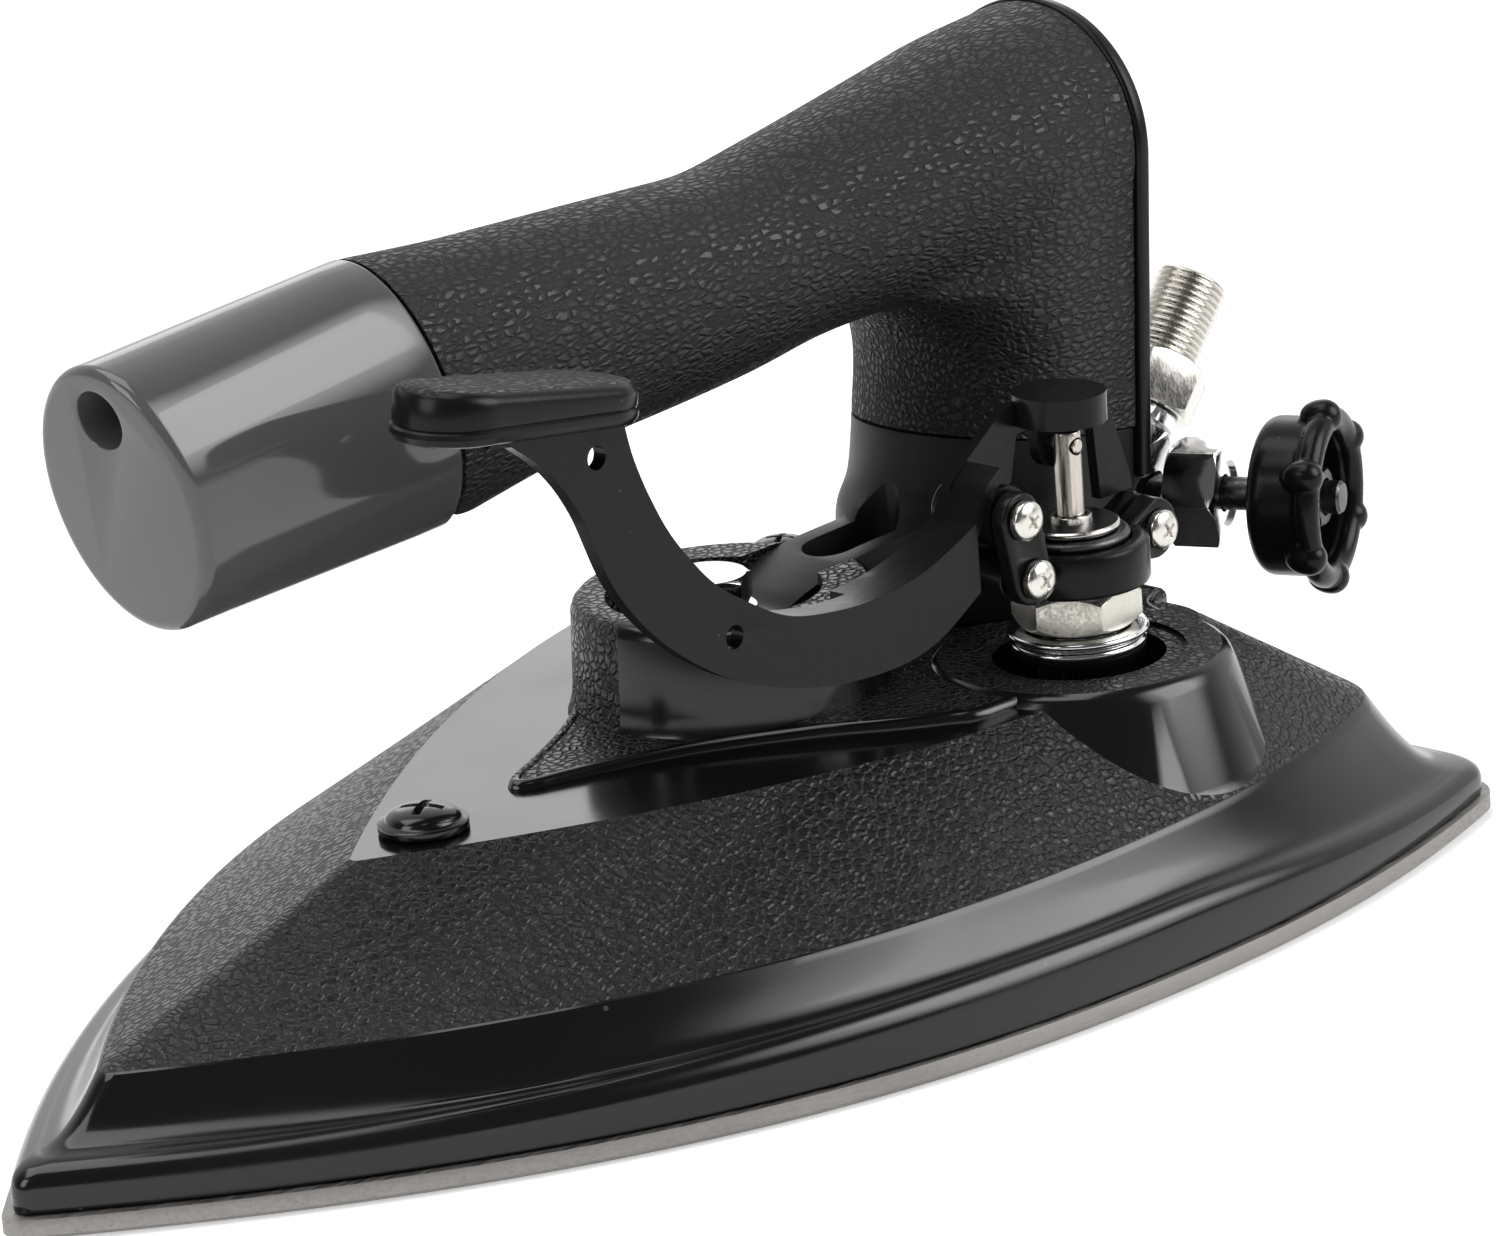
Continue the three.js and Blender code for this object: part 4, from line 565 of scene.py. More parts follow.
def bright_metal(name, color, roughness, stain, lines=(1.0, 1.0, 0.06), marks=0.35):
    """Plated or bare metal with tool lines along one direction and slight stains."""
    finish = Finish(name, color, metallic=1.0)
    tool = finish.group("Tool lines", finish.stretched(lines), Lines_per_metre=2600.0)
    low, high = roughness * (1 - marks), roughness * (1 + marks)
    finish.rough(finish.ranged(tool.outputs["Lines"], low, high, 0.35, 0.65))
    finish.mixed(finish.ranged(tool.outputs["Stain"], 0.0, 0.5, 0.5, 0.75), stain)
    finish.bump(tool.outputs["Lines"], 0.00002, 0.5)


def speckled_metal(color):
    """Yellowish plate of the valve nut with dark specks."""
    finish = Finish("nut_metal", color, metallic=1.0)
    specks = finish.group("Specks", finish.place, Amount=0.3, Per_metre=2600.0)
    finish.mixed(finish.ranged(specks.outputs["Dust"], 0.0, 0.45), (0.25, 0.22, 0.16))
    grit = finish.noise(2200.0, 3.0)
    finish.rough(finish.ranged(grit, 0.28, 0.55, 0.35, 0.65))
    finish.bump(grit, 0.00003, 0.6)


def gasket_red():
    finish = Finish("gasket_red", (0.35, 0.07, 0.04), 0.75)
    grit = finish.noise(900.0, 3.0)
    finish.mixed(finish.ranged(grit, 0.0, 0.6, 0.4, 0.7), (0.2, 0.04, 0.03))
    finish.bump(grit, 0.00005, 0.6)


class LookSizes(PropertyGroup):
    """Colours and grain of the finishes."""

    black: colour("Black", "Base colour of the black plastic and enamel", (0.0060, 0.0060, 0.0064))
    grip_black: colour("Grip black", "Base colour of the grained handle", (0.0085, 0.0085, 0.0087))
    satin_black: colour("Satin black", "Base colour of the painted bracket", (0.0095, 0.0095, 0.0097))
    cap_grey: colour("Cap grey", "Base colour of the handle's cap", (0.085, 0.085, 0.086))
    nut_metal: colour("Nut plate", "Colour of the valve nut", (0.62, 0.60, 0.54))
    cover_cells: FloatProperty(name="Cover grain", description="Pebbles of the cover's grain per metre",
                               default=840.0, min=100.0)
    grip_cells: FloatProperty(name="Grip grain", description="Pebbles of the grip's grain per metre",
                              default=1050.0, min=100.0)


class IRON_OT_finishes(Operator):
    """Make the shared shader groups and every finish"""

    bl_idname = "iron.finishes"
    bl_label = "Make finishes"

    def execute(self, context):
        look = context.scene.iron_look
        for group in (grain_group, specks_group, tooling_group):
            group()
        coated("gloss_black", look.black, 0.42, (0.012, 520.0), (0.10, 0.22), (0.5, 0.12),
               (38.0, 1.0, 0.0004, 0.1))
        grained("cover_grain_black", look.black, 0.4, look.cover_cells, 0.24, 0.6, (0.28, 0.6), 0.8)
        grained("grip_grain_black", look.grip_black, 0.34, look.grip_cells, 0.34, 0.9, (0.38, 0.7), 0.7,
                stretch=(0.5, 1.0, 1.0))
        coated("satin_black", look.satin_black, 0.22, (0.01, 800.0), (0.34, 0.5), None,
               (1500.0, 2.0, 0.00003, 0.6))
        coated("lever_black", look.black, 0.16, (0.015, 900.0), (0.2, 0.32), (0.4, 0.1),
               (420.0, 2.0, 0.00006, 0.5))
        coated("cap_grey", look.cap_grey, 0.5, (0.01, 500.0), (0.06, 0.12), None, (45.0, 1.0, 0.0004, 0.2))
        speckled_metal(look.nut_metal)
        gasket_red()
        bright_metal("chrome", (0.78, 0.78, 0.79), 0.12, (0.55, 0.54, 0.52), marks=0.5)
        bright_metal("nickel", (0.66, 0.64, 0.60), 0.24, (0.45, 0.42, 0.38))
        bright_metal("sole_metal", (0.27, 0.26, 0.25), 0.45, (0.15, 0.145, 0.135), lines=(0.05, 1.0, 1.0))
        bright_metal("stem_metal", (0.55, 0.51, 0.46), 0.3, (0.36, 0.31, 0.26))
        bright_metal("cast_metal", (0.45, 0.45, 0.45), 0.55, (0.3, 0.3, 0.3), lines=(1.0, 1.0, 1.0))
        bright_metal("dark_steel", (0.09, 0.09, 0.095), 0.38, (0.05, 0.05, 0.05))
        bright_metal("brass", (0.62, 0.43, 0.17), 0.3, (0.4, 0.27, 0.1))
        return {"FINISHED"}


# Sole and cover


class SoleSizes(PropertyGroup):
    """Outline of the sole; the cover follows it."""

    nose_x: metres("Nose", "Place of the nose's tip", -0.1065)
    rear_x: metres("Rear", "Place of the rear edge", 0.107)
    half_width: metres("Half width", "Half of the widest place", 0.0623)
    rim_height: metres("Rim", "Height of the bare metal edge", 0.0028)

def sole_size(sole, inset, rear_inset=None):
    """Outline sizes of the sole drawn in; the nose draws in further than the sides."""
    rear_inset = inset if rear_inset is None else rear_inset
    return {
        "nose_x": sole.nose_x + 2.2 * inset, "widest_x": 0.043, "rear_x": sole.rear_x - rear_inset,
        "half_width": sole.half_width - inset, "rear_half": 0.0516 - inset, "nose_radius": 0.0025,
        "corner_radius": max(0.0075 - inset / 2, 0.0025), "power": 2.3,
    }


def facet_size(inset):
    return {
        "nose_x": -0.0479 + 2 * inset, "widest_x": 0.045, "rear_x": 0.0725 - inset,
        "half_width": 0.040 - inset, "rear_half": 0.033 - inset, "nose_radius": 0.001,
        "corner_radius": 0.008, "power": 1.75,
    }


def facet_height(x):
    return 0.0293 + FACET_SLOPE * (x + 0.0479)


CHAMBER = {"inset": 0.015, "rear_inset": 0.010, "wall": 0.005, "floor": 0.006, "height": 0.0112}
POSTS = [(FRONT_X, 0, 0.0126, 0.038), (-0.0358, 0, 0.0045, 0.022), (0.060, 0.030, 0.0045, 0.022),
         (0.063, 0, 0.007, 0.027)]


class IRON_OT_sole(Operator):
    """Model the metal sole with its chamber, posts and steam holes"""

    bl_idname = "iron.sole"
    bl_label = "Sole"

    def execute(self, context):
        sole = context.scene.iron_sole
        edge = 0.0008
        rim = boat_outline(sole_size(sole, 0))
        block = boat_outline(sole_size(sole, CHAMBER["inset"], CHAMBER["rear_inset"]))
        inner_inset = CHAMBER["inset"] + CHAMBER["wall"]
        inner = boat_outline(sole_size(sole, inner_inset, CHAMBER["rear_inset"] + CHAMBER["wall"]))
        body = skinned([
            ring_at(boat_outline(sole_size(sole, edge)), 0),
            ring_at(rim, edge),
            ring_at(rim, sole.rim_height),
            ring_at(block, sole.rim_height),
            ring_at(block, CHAMBER["height"]),
            ring_at(inner, CHAMBER["height"]),
            ring_at(inner, CHAMBER["floor"]),
        ])
        places = [(sole.nose_x + 2.2 * 0.027 + 0.004, 0)]
        for row in range(6):
            x = -0.040 + row * 0.008
            y = half_width(sole_size(sole, 0.027), x)
            places += [(x, y), (x, -y)]
        holes = [shifted(rod(0.0016, -OVERRUN, 0.008, 24), x, y) for x, y in places]
        carved(body, joined(*holes))
        softened(body, 0.0004, 2)
        posts = [shifted(turned([(0, 0.0028), (radius, 0.0028), (radius, high - edge), (radius - edge, high),
                                 (0, high)]), x, y) for x, y, radius, high in POSTS]
        joined(body, *posts)
        delivered(body, "sole_dressed", "sole_metal", "sole_metal", "soleplate")
        return {"FINISHED"}


class CoverSizes(PropertyGroup):
    """Heights and edges of the black cover."""

    band_inset: metres("Band inset", "How far the band leans in", 0.0075)
    platform_height: metres("Platform", "Height of the raised platform", 0.0332)
    boss_height: metres("Front boss", "Height of the boss round the front bolt", 0.0457)


def band_height(x):
    return 0.0153 + 0.004 * (x + 0.1065) / 0.2135


# Inset and height of the bead over the rim, the cove behind it and the band above, at the nose
BAND_LEVELS = [(0.00085, 0.0033), (0.00080, 0.0045), (0.00085, 0.0060), (0.0011, 0.0072), (0.0017, 0.0081),
               (0.0025, 0.0086), (0.0032, 0.0088), (0.0040, 0.0092), (0.0050, 0.0103), (0.0062, 0.0124),
               (0.0075, 0.0153)]
BEAD_TOP = 0.0086


def band_level(x, height):
    """Height of a level at one place along the cover; the bead rises to the middle and falls to the rear."""
    foot, top = BAND_LEVELS[0][1], BAND_LEVELS[-1][1]
    rise = min(1.0, max(0.0, (x + 0.080) / 0.095))
    fall = min(1.0, max(0.0, (x - 0.030) / 0.070))
    bead = BEAD_TOP + 0.0022 * rise * rise * (3 - 2 * rise) - 0.0040 * fall * fall * (3 - 2 * fall)
    if height <= BEAD_TOP:
        return foot + (height - foot) * (bead - foot) / (BEAD_TOP - foot)
    return bead + (band_height(x) - bead) * (height - BEAD_TOP) / (top - BEAD_TOP)


def band_size(sole, inset):
    """Outline sizes inside the band, whose rear corners are drawn in and rounded more as it rises."""
    share = max(0.0, inset - BAND_LEVELS[0][0]) / (BAND_LEVELS[-1][0] - BAND_LEVELS[0][0])
    size = sole_size(sole, inset, inset + 0.007 * share ** 1.5)
    size["corner_radius"] += 0.008 * share
    return size


def cover_shell(sole, cover):
    """Closed shell of the cover from its inner roof, round the lower edge, to the facet."""
    wall = 0.0026
    edge = sole.rim_height + SEAT
    levels = spline(BAND_LEVELS, 3)
    rings = [
        ring_at(boat_outline(facet_size(wall / 2)), lambda x: facet_height(x) - wall),
        ring_at(boat_outline(band_size(sole, cover.band_inset + wall)), lambda x: band_height(x) - wall / 2),
        ring_at(boat_outline(band_size(sole, 0.0037 + wall)), 0.0088),
        ring_at(boat_outline(sole_size(sole, 0.001 + wall)), edge),
        ring_at(boat_outline(sole_size(sole, BAND_LEVELS[0][0])), edge),
        *[ring_at(boat_outline(band_size(sole, inset)), lambda x, z=z: band_level(x, z))
          for inset, z in levels],
    ]
    high = ring_at(boat_outline(band_size(sole, cover.band_inset)), band_height)
    top = ring_at(boat_outline(facet_size(0)), facet_height)
    rings += [between(high, top, share)
              for share in (0.012, 0.1, 0.22, 0.34, 0.46, 0.58, 0.7, 0.82, 0.92, 0.985)]
    rings.append(top)
    return skinned(rings)


def between(low, high, share):
    return [tuple(Vector(a).lerp(Vector(b), share)) for a, b in zip(low, high)]


# Half of the platform's outline, from its rounded tip to the rear
PLATFORM_HALF = [(-0.0208, 0), (-0.0203, 0.0013), (-0.0186, 0.0027), (-0.0162, 0.0037), (-0.0112, 0.0060),
                 (-0.0055, 0.0090), (0, 0.0126), (0.005, 0.0166), (0.009, 0.0202), (0.014, 0.0248),
                 (0.018, 0.0287), (0.023, 0.0328), (0.028, 0.0356), (0.045, 0.0352), (0.060, 0.0338),
                 (0.0665, 0.0325), (0.0695, 0.0295), (0.0715, 0.025), (0.0765, 0.0225)]
# How much narrower the far half is near its tip, and the width of the rim round the top
FAR_SHARE = 0.84
PLATFORM_RIM = 0.0018


def platform_outline(inset):
    """Outline of the platform drawn in by a distance."""
    line = spline(PLATFORM_HALF, 4)
    half = []
    for index, (x, y) in enumerate(line):
        before = line[index - 1] if index else (line[1][0], -line[1][1])
        after = line[min(index + 1, len(line) - 1)]
        along = (Vector(after) - Vector(before)).normalized()
        drawn = (x + along[1] * inset, max(y - along[0] * inset, 0.00002 * index))
        half.append((max(drawn[0], half[-1][0] + 0.00002), drawn[1]) if half else drawn)
    far = [(x, y * min(1.0, FAR_SHARE + 4 * max(0.0, x - 0.03))) for x, y in half[1:]]
    return [*[(x, -y) for x, y in half], *reversed(far)]


def platform_height_at(cover, x):
    """Height of the platform, which ramps down a little towards its tip."""
    tip_x, tip_height, ramp_end = PLATFORM_HALF[0][0], 0.0312, 0.012
    share = min(1.0, max(0.0, (x - tip_x) / (ramp_end - tip_x)))
    return tip_height + (cover.platform_height - tip_height) * share


def platform_piece(cover):
    """Raised platform with a pointed tip, a rounded rim and a top a touch lower than the rim."""
    rings = [ring_at(platform_outline(0), lambda x: facet_height(x) - 0.0013 - 0.3 * max(0.0, x - 0.060))]
    for inset, drop in ((0, 0.0010), (0.0002, 0.0005), (0.0006, 0.00012), (0.0011, 0), (0.0015, 0.0001),
                        (PLATFORM_RIM, 0.0003)):
        rings.append(ring_at(platform_outline(inset), lambda x, drop=drop: platform_height_at(cover, x) - drop))
    return skinned(rings)


# The front boss stands a little behind the bolt that it surrounds
BOSS_X = FRONT_X + 0.003


def front_boss_profile(cover):
    """Radii and heights of the front boss's wall, from its foot to its flat top."""
    high, low = cover.boss_height, facet_height(FRONT_X) - 0.0013
    return [(0.0212, low), (0.0206, low + 0.0014), (0.0201, low + 0.0030), (0.0199, low + 0.0050),
            (0.0195, high - 0.0016), (0.0192, high - 0.0008), (0.0186, high - 0.0002), (0.0178, high)]


def valve_boss_profile(flat):
    """Radii and heights of the valve boss, a cone with a rounded rim."""
    return [(0.0243, 0.0150), (0.0243, 0.0178), (0.0236, 0.0200), (0.0196, flat - 0.0020),
            (0.0191, flat - 0.0009), (0.0186, flat - 0.0003), (0.0180, flat)]


def on_wall(piece, polygon, centre_x, centre_y, profile, slack=0.0003):
    """True where every corner of a face lies on the wall that a profile gives round a centre."""
    for index in polygon.vertices:
        x, y, z = piece.data.vertices[index].co
        away = math.hypot(x - centre_x, y - centre_y)
        if not profile[0][1] - slack < z < profile[-1][1] + 0.0001:
            return False
        for (low_radius, low), (high_radius, high) in zip(profile, profile[1:]):
            if low - 1e-5 <= z <= high + 1e-5:
                wall = low_radius + (high_radius - low_radius) * (z - low) / max(high - low, 1e-9)
                if abs(away - wall) > slack:
                    return False
                break
        else:
            return False
    return True


def takes_grain(piece, polygon, cover, flat):
    """True on the slopes, the platform's top and the bosses' rims; the rest is glossy."""
    x, y, z = polygon.center
    level = polygon.normal.z > 0.985
    if on_wall(piece, polygon, BOSS_X, 0, front_boss_profile(cover)) and not level:
        return polygon.normal.y > 0.02
    if on_wall(piece, polygon, VALVE.x, VALVE.y, valve_boss_profile(flat)):
        return False
    if level and z > cover.boss_height - 0.0003:
        return True
    if level and abs(z - flat) < 0.00005:
        return math.hypot(x - VALVE.x, y - VALVE.y) > 0.0137
    if level:
        on_platform = abs(z - platform_height_at(cover, x) + 0.0003) < 0.0002
        return on_platform or z > cover.platform_height - 0.00035
    if z > facet_height(x) + 0.0004:
        return y > 0.001
    return band_height(x) + 0.0001 < z < facet_height(x) + 0.0001 and polygon.normal.z > 0.1


def cutter(profile, x, y):
    """Round cutter at a place; it is turned a little so that its corners miss those of what it cuts."""
    return shifted(moved(turned(profile), Matrix.Rotation(0.021, 4, "Z")), x, y)


class IRON_OT_cover(Operator):
    """Model the cover with its band, facet, platform and bosses"""

    bl_idname = "iron.cover"
    bl_label = "Cover"

    def execute(self, context):
        sole, cover = context.scene.iron_sole, context.scene.iron_cover
        shell = cover_shell(sole, cover)
        flat = cover.platform_height + 0.00012
        valve = valve_boss_profile(flat)
        valve_boss = shifted(turned([(0, valve[0][1]), *valve, (0, flat)]), VALVE.x, VALVE.y)
        front = front_boss_profile(cover)
        front_boss = shifted(turned([(0, front[0][1]), *front, (0, cover.boss_height)]), BOSS_X)
        united(shell, platform_piece(cover), front_boss, valve_boss)
        notch = slab([(FRONT_X, 0.0371), (0.040, 0.0371), (0.040, 0.050), (FRONT_X, 0.050)], -0.0066, 0.0066)
        carved(
            shell,
            cutter([(0, 0), (0.0137, 0), (0.0137, 0.0501), (0, 0.0501)], FRONT_X + 0.001, 0),
            notch,
            cutter([(0, 0), (0.0110, 0), (0.0110, flat - 0.0005), (0.0136, flat - 0.0005), (0.0136, 0.05),
                    (0, 0.05)], VALVE.x, VALVE.y),
            cutter([(0, 0), (0.0056, 0), (0.0056, 0.05), (0, 0.05)], FITTING.x, 0),
        )
        two_tone(shell, "gloss_black", "cover_grain_black",
                 lambda polygon: takes_grain(shell, polygon, cover, flat))
        delivered(shell, "cover_dressed", None, "cover_black", "cover")
        for polygon in shell.data.polygons:
            if polygon.normal.z > 0.998:
                polygon.use_smooth = False
        return {"FINISHED"}


# Handle


class HandleSizes(PropertyGroup):
    """Grip and cap of the handle."""

    radius: metres("Grip radius", "Radius of the grip at the cap", 0.0169)
    front_x: metres("Grip start", "Place where the grip meets the cap", -0.0355)
    cap_x: metres("Cap face", "Place of the cap's face", -0.0786)
    joint_lean: FloatProperty(name="Joint lean", description="Slope of the joint between grip and cap",
                              default=0.24)
    cap_half_height: metres("Cap half height", "Half height of the cap's face", 0.0168)
    cap_half_width: metres("Cap half width", "Half width of the cap's face", 0.0132)
    cap_lean: FloatProperty(name="Cap lean", description="Slope of the cap's face", default=0.20)


def plate_x(z):
    return PLATE["x"] + PLATE["lean"] * (z - PLATE["z"])


def joint_height(x):
    """Height of the joint between the grip and its bracket, which falls towards the rear."""
    return 0.0575 - 0.14 * (x - 0.052)


def column_ring(front_x, half, height):
    """Cross-section of the column: straight sides and a half-elliptic front."""
    rear_x, centre_x = 0.0830, 0.0685
    outline = [(rear_x, -half)]
    for step in range(33):
        angle = -math.pi / 2 + math.pi * step / 32
        outline.append((centre_x - (centre_x - front_x) * math.cos(angle), half * math.sin(angle)))
    outline.append((rear_x, half))
    return ring_at(outline, height)


# Shares of the grip's length, of its rise and of its radius up and across
GRIP_SHARES = [(0, 0.05, 1.05, 0.70), (0.115, 0.12, 0.955, 0.70), (0.248, 0.24, 0.87, 0.72),
               (0.381, 0.26, 0.817, 0.745), (0.487, 0.32, 0.775, 0.765), (0.593, 0.64, 0.775, 0.793),
               (0.699, 0.86, 0.822, 0.852), (0.805, 0.96, 0.905, 0.96), (0.903, 1, 1, 1.04),
               (1.03, 1, 1.08, 1.08)]
# Shares of the column's height and of how far its front stands behind the joint
COLUMN_SHARES = [(0, 0), (0.14, 0.07), (0.27, 0.1), (0.4, 0.03), (0.49, -0.14), (0.556, -0.33),
                 (0.62, -0.56), (0.71, -0.22), (1, 0)]
BRACKET_SHARES = [(0, -0.265, 1.04), (0.2, -0.3, 1.01), (0.5, -0.33, 0.985), (0.7, -0.13, 0.98),
                  (1, -0.02, 0.98)]


class IRON_OT_grip(Operator):
    """Model the grained grip with its column"""

    bl_idname = "iron.grip"
    bl_label = "Grip"

    def execute(self, context):
        size = context.scene.iron_handle
        length, arch = 0.1155, 0.089
        rings = []
        for share, rise, high, wide in spline_rows(GRIP_SHARES, 8):
            x = size.front_x + share * length
            turn = [2 * math.pi * side / 64 for side in range(64)]
            lean = size.joint_lean * max(0.0, 1 - share / 0.3)
            rings.append([(x - lean * high * size.radius * math.sin(a), wide * size.radius * math.cos(a),
                           0.084 + rise * 0.005 + high * size.radius * math.sin(a)) for a in turn])
        rings[0] = [(x - OVERRUN, y, z) for x, y, z in rings[0]]
        bar = skinned(rings)
        column = skinned([
            column_ring(0.052 + behind * GRIP_HALF_WIDTH, GRIP_HALF_WIDTH,
                        lambda x, up=up: (1 - up) * (joint_height(x) - (0.002 if up == 0 else 0)) + up * arch)
            for up, behind in spline_rows(COLUMN_SHARES, 6)
        ])
        joined(bar, column)
        modified(bar, "REMESH", mode="VOXEL", voxel_size=0.0009, use_smooth_shade=True)
        bend = bar.vertex_groups.new(name="bend")
        for vertex in bar.data.vertices:
            x, y, z = vertex.co
            near = max(0.0, 1 - (Vector((x, z)) - Vector((0.048, 0.074))).length / 0.019)
            bend.add([vertex.index], min(1.0, 0.25 + 1.6 * near), "REPLACE")
        modified(bar, "SMOOTH", factor=0.5, iterations=14, vertex_group="bend")
        bisected(bar, (size.front_x, 0, 0.0843), Vector((-1, 0, -size.joint_lean)).normalized())
        bisected(bar, (plate_x(0) - SEAT, 0, 0), (1, 0, -PLATE["lean"]))
        bisected(bar, (0.052, 0, 0.0575), (-0.14, 0, -1))
        delivered(bar, "grip_dressed", "grip_grain_black", "grip_black", "handle_grip")
        return {"FINISHED"}


def spline_rows(rows, steps):
    """Smooth line through rows of any length."""
    columns = [spline([(value, 0) for value in column], steps) for column in zip(*rows)]
    return list(zip(*[[point[0] for point in column] for column in columns]))


class IRON_OT_cap(Operator):
    """Model the grey cap with its hole"""

    bl_idname = "iron.cap"
    bl_label = "Cap"

    def execute(self, context):
        size = context.scene.iron_handle
        rounding, radius = 0.0016, size.radius
        joint = (size.front_x - SEAT, 0.0843, 0.70 * radius, 1.05 * radius, size.joint_lean)
        face = (size.cap_x + rounding, 0.0824, size.cap_half_width, size.cap_half_height, size.cap_lean)

        def ring(x, z, half_across, half_up, tilt):
            turn = [2 * math.pi * side / ROUND_STEPS for side in range(ROUND_STEPS)]
            return [(x - tilt * half_up * math.sin(a), half_across * math.cos(a), z + half_up * math.sin(a))
                    for a in turn]

        first = list(joint)
        first[2], first[3] = first[2] - 0.0004, first[3] - 0.0004
        rings = [ring(*first)]
        for step in range(9):
            share = step / 8
            x, z, across, up, tilt = (a + (b - a) * share for a, b in zip(joint, face))
            rings.append(ring(x - 0.0004 * (1 - share), z, across, up, tilt))
        for step in range(1, 9):
            angle = math.pi / 2 * step / 8
            inwards = rounding * (1 - math.cos(angle))
            rings.append(ring(face[0] - rounding * math.sin(angle), face[1], face[2] - inwards,
                              face[3] - inwards, face[4]))
        cap = skinned(rings)
        hole_z, depth = 0.0926, 0.025
        carved(cap, along_x(rod(0.0036, -0.03, depth, ROUND_STEPS), (size.cap_x, 0, hole_z)))
        softened(cap, 0.0005, 3)
        delivered(cap, "cap_dressed", "cap_grey", "cap_grey", "handle_cap")
        return {"FINISHED"}


def plate_placing():
    """Matrix that stands a flat shape, drawn in X and Z, in the leaning plane behind the handle."""
    lean = math.atan(PLATE["lean"])
    across, up = Vector((0, 1, 0)), Vector((math.sin(lean), 0, math.cos(lean)))
    back = Vector((math.cos(lean), 0, -math.sin(lean)))
    placing = Matrix((across, back, up)).transposed().to_4x4()
    return Matrix.Translation((PLATE["x"], 0, PLATE["z"])) @ placing


class IRON_OT_plate(Operator):
    """Model the plate behind the handle and the block on it"""

    bl_idname = "iron.plate"
    bl_label = "Back plate and block"

    def execute(self, context):
        half, low, arch = 0.0186, -0.001, 0.041
        outline = [(-half, low), (half, low), *arc((0, arch), half, 0, 180, 64)]
        plate = moved(softened(slab(outline, 0, PLATE["thickness"]), 0.0006, 4), plate_placing())
        delivered(plate, "back_plate_dressed", "lever_black", "lever_black", "back_plate")
        corner, width, bottom, top = 0.005, 0.013, 0.004, 0.021
        corners = [((width - corner, bottom + corner), -90), ((width - corner, top - corner), 0),
                   ((corner - width, top - corner), 90), ((corner - width, bottom + corner), 180)]
        outline = [point for centre, start in corners for point in arc(centre, corner, start, start + 90, 8)]
        near = PLATE["thickness"] + SEAT
        block = moved(softened(slab(outline, near, near + 0.0056), 0.0014, 5), plate_placing())
        carved(block, along_x(rod(0.0022, -0.02, 0.04), (plate_x(0.060), 0, 0.060)))
        delivered(block, "rear_block_dressed", "grip_grain_black", "grip_black", "rear_block")
        return {"FINISHED"}


# Crest of the strap: shares of the way to the column and up to the crest
STRAP_SHARES = [(0, 0), (0.19, -0.01), (0.32, 0.34), (0.58, 0.86), (0.87, 1), (1.2, 1.1)]


class IRON_OT_bracket(Operator):
    """Model the satin bracket between the sole and the grip"""

    bl_idname = "iron.bracket"
    bl_label = "Bracket"

    def execute(self, context):
        base, foot_high = 0.0335, 0.0423
        column = skinned([
            column_ring(0.052 + behind * GRIP_HALF_WIDTH, wide * GRIP_HALF_WIDTH,
                        lambda x, up=up: (1 - up) * base + up * (joint_height(x) - SEAT))
            for up, behind, wide in spline_rows(BRACKET_SHARES, 8)
        ])
        reach, crest = 0.035, 0.0037
        top = [(FRONT_X + along * reach, foot_high + up * crest) for along, up in spline(STRAP_SHARES, 10)]
        under = [(x, max(z - 0.0055, foot_high - 0.004)) for x, z in reversed(top)]
        strap = slab([*top, *under], -0.0063, 0.0063)
        foot = shifted(rod(0.0075, foot_high - 0.004, foot_high, ROUND_STEPS), FRONT_X)
        united(column, strap, foot)
        half = 0.00365
        slot = moved(slab(oblong((0.0345 + half, 0), (0.050 - half, 0), half), -0.0542, -base + OVERRUN),
                     Matrix.Rotation(math.pi / 2, 4, "X") @ Matrix.Scale(-1, 4, (0, 1, 0)))
        edit(slot)
        close_up()
        carved(column, slot, shifted(rod(0.0033, 0, 0.044), FRONT_X))
        bisected(column, (plate_x(0) - SEAT, 0, 0), (1, 0, -PLATE["lean"]))
        softened(column, 0.0007, 3)
        delivered(column, "bracket_dressed", "satin_black", "bracket_black", "handle_bracket")
        return {"FINISHED"}


# Lever and links, drawn round the upper pivot

# Outer and inner edge of the lever as shares of its reach and rise
LEVER_OUTER_SHARES = [
    (-1.008, 1.0737), (-0.914, 0.868), (-0.855, 0.648), (-0.8, 0.306), (-0.721, 0.039),
    (-0.61, -0.19), (-0.492, -0.336), (-0.37, -0.42), (-0.245, -0.444), (-0.157, -0.401), (-0.0645, -0.27),
]
LEVER_INNER_SHARES = [
    (-0.757, 0.93), (-0.744, 0.786), (-0.717, 0.605), (-0.678, 0.414), (-0.613, 0.2), (-0.549, 0.069),
    (-0.462, -0.0625), (-0.36, -0.118), (-0.277, -0.128), (-0.19, -0.102), (-0.124, -0.046), (-0.0645, 0.02),
]
LEVER_SHOULDER_SHARES = [(-0.0645, 0.02), (-0.0504, 0.085), (-0.034, 0.15), (-0.0035, 0.21)]
LEVER_FAR_SHARES = [
    (-0.0457, -0.033), (-0.0504, 0.066), (-0.0422, 0.138), (-0.0164, 0.194), (0.0703, 0.355),
    (0.0879, 0.375), (0.2638, 0.362), (0.286, 0.303), (0.314, 0.18), (0.3482, -0.095),
    (0.3505, -0.161), (0.2802, -0.161), (0.2778, -0.066), (0.2696, 0.247), (0.1043, 0.247),
    (0.0868, 0.059), (0.0457, -0.016),
]


class LeverSizes(PropertyGroup):
    """Thumb lever and its pad."""

    reach: metres("Reach", "From the pivot to the lever's tip", 0.0853)
    rise: metres("Rise", "From the pivot up to the lever's tip", 0.0304)
    half_width: metres("Half width", "Half of the lever's width", 0.0036)
    pad_length: metres("Pad length", "Length of the thumb pad", 0.0345)
    pad_width: metres("Pad width", "Width of the thumb pad", 0.015)


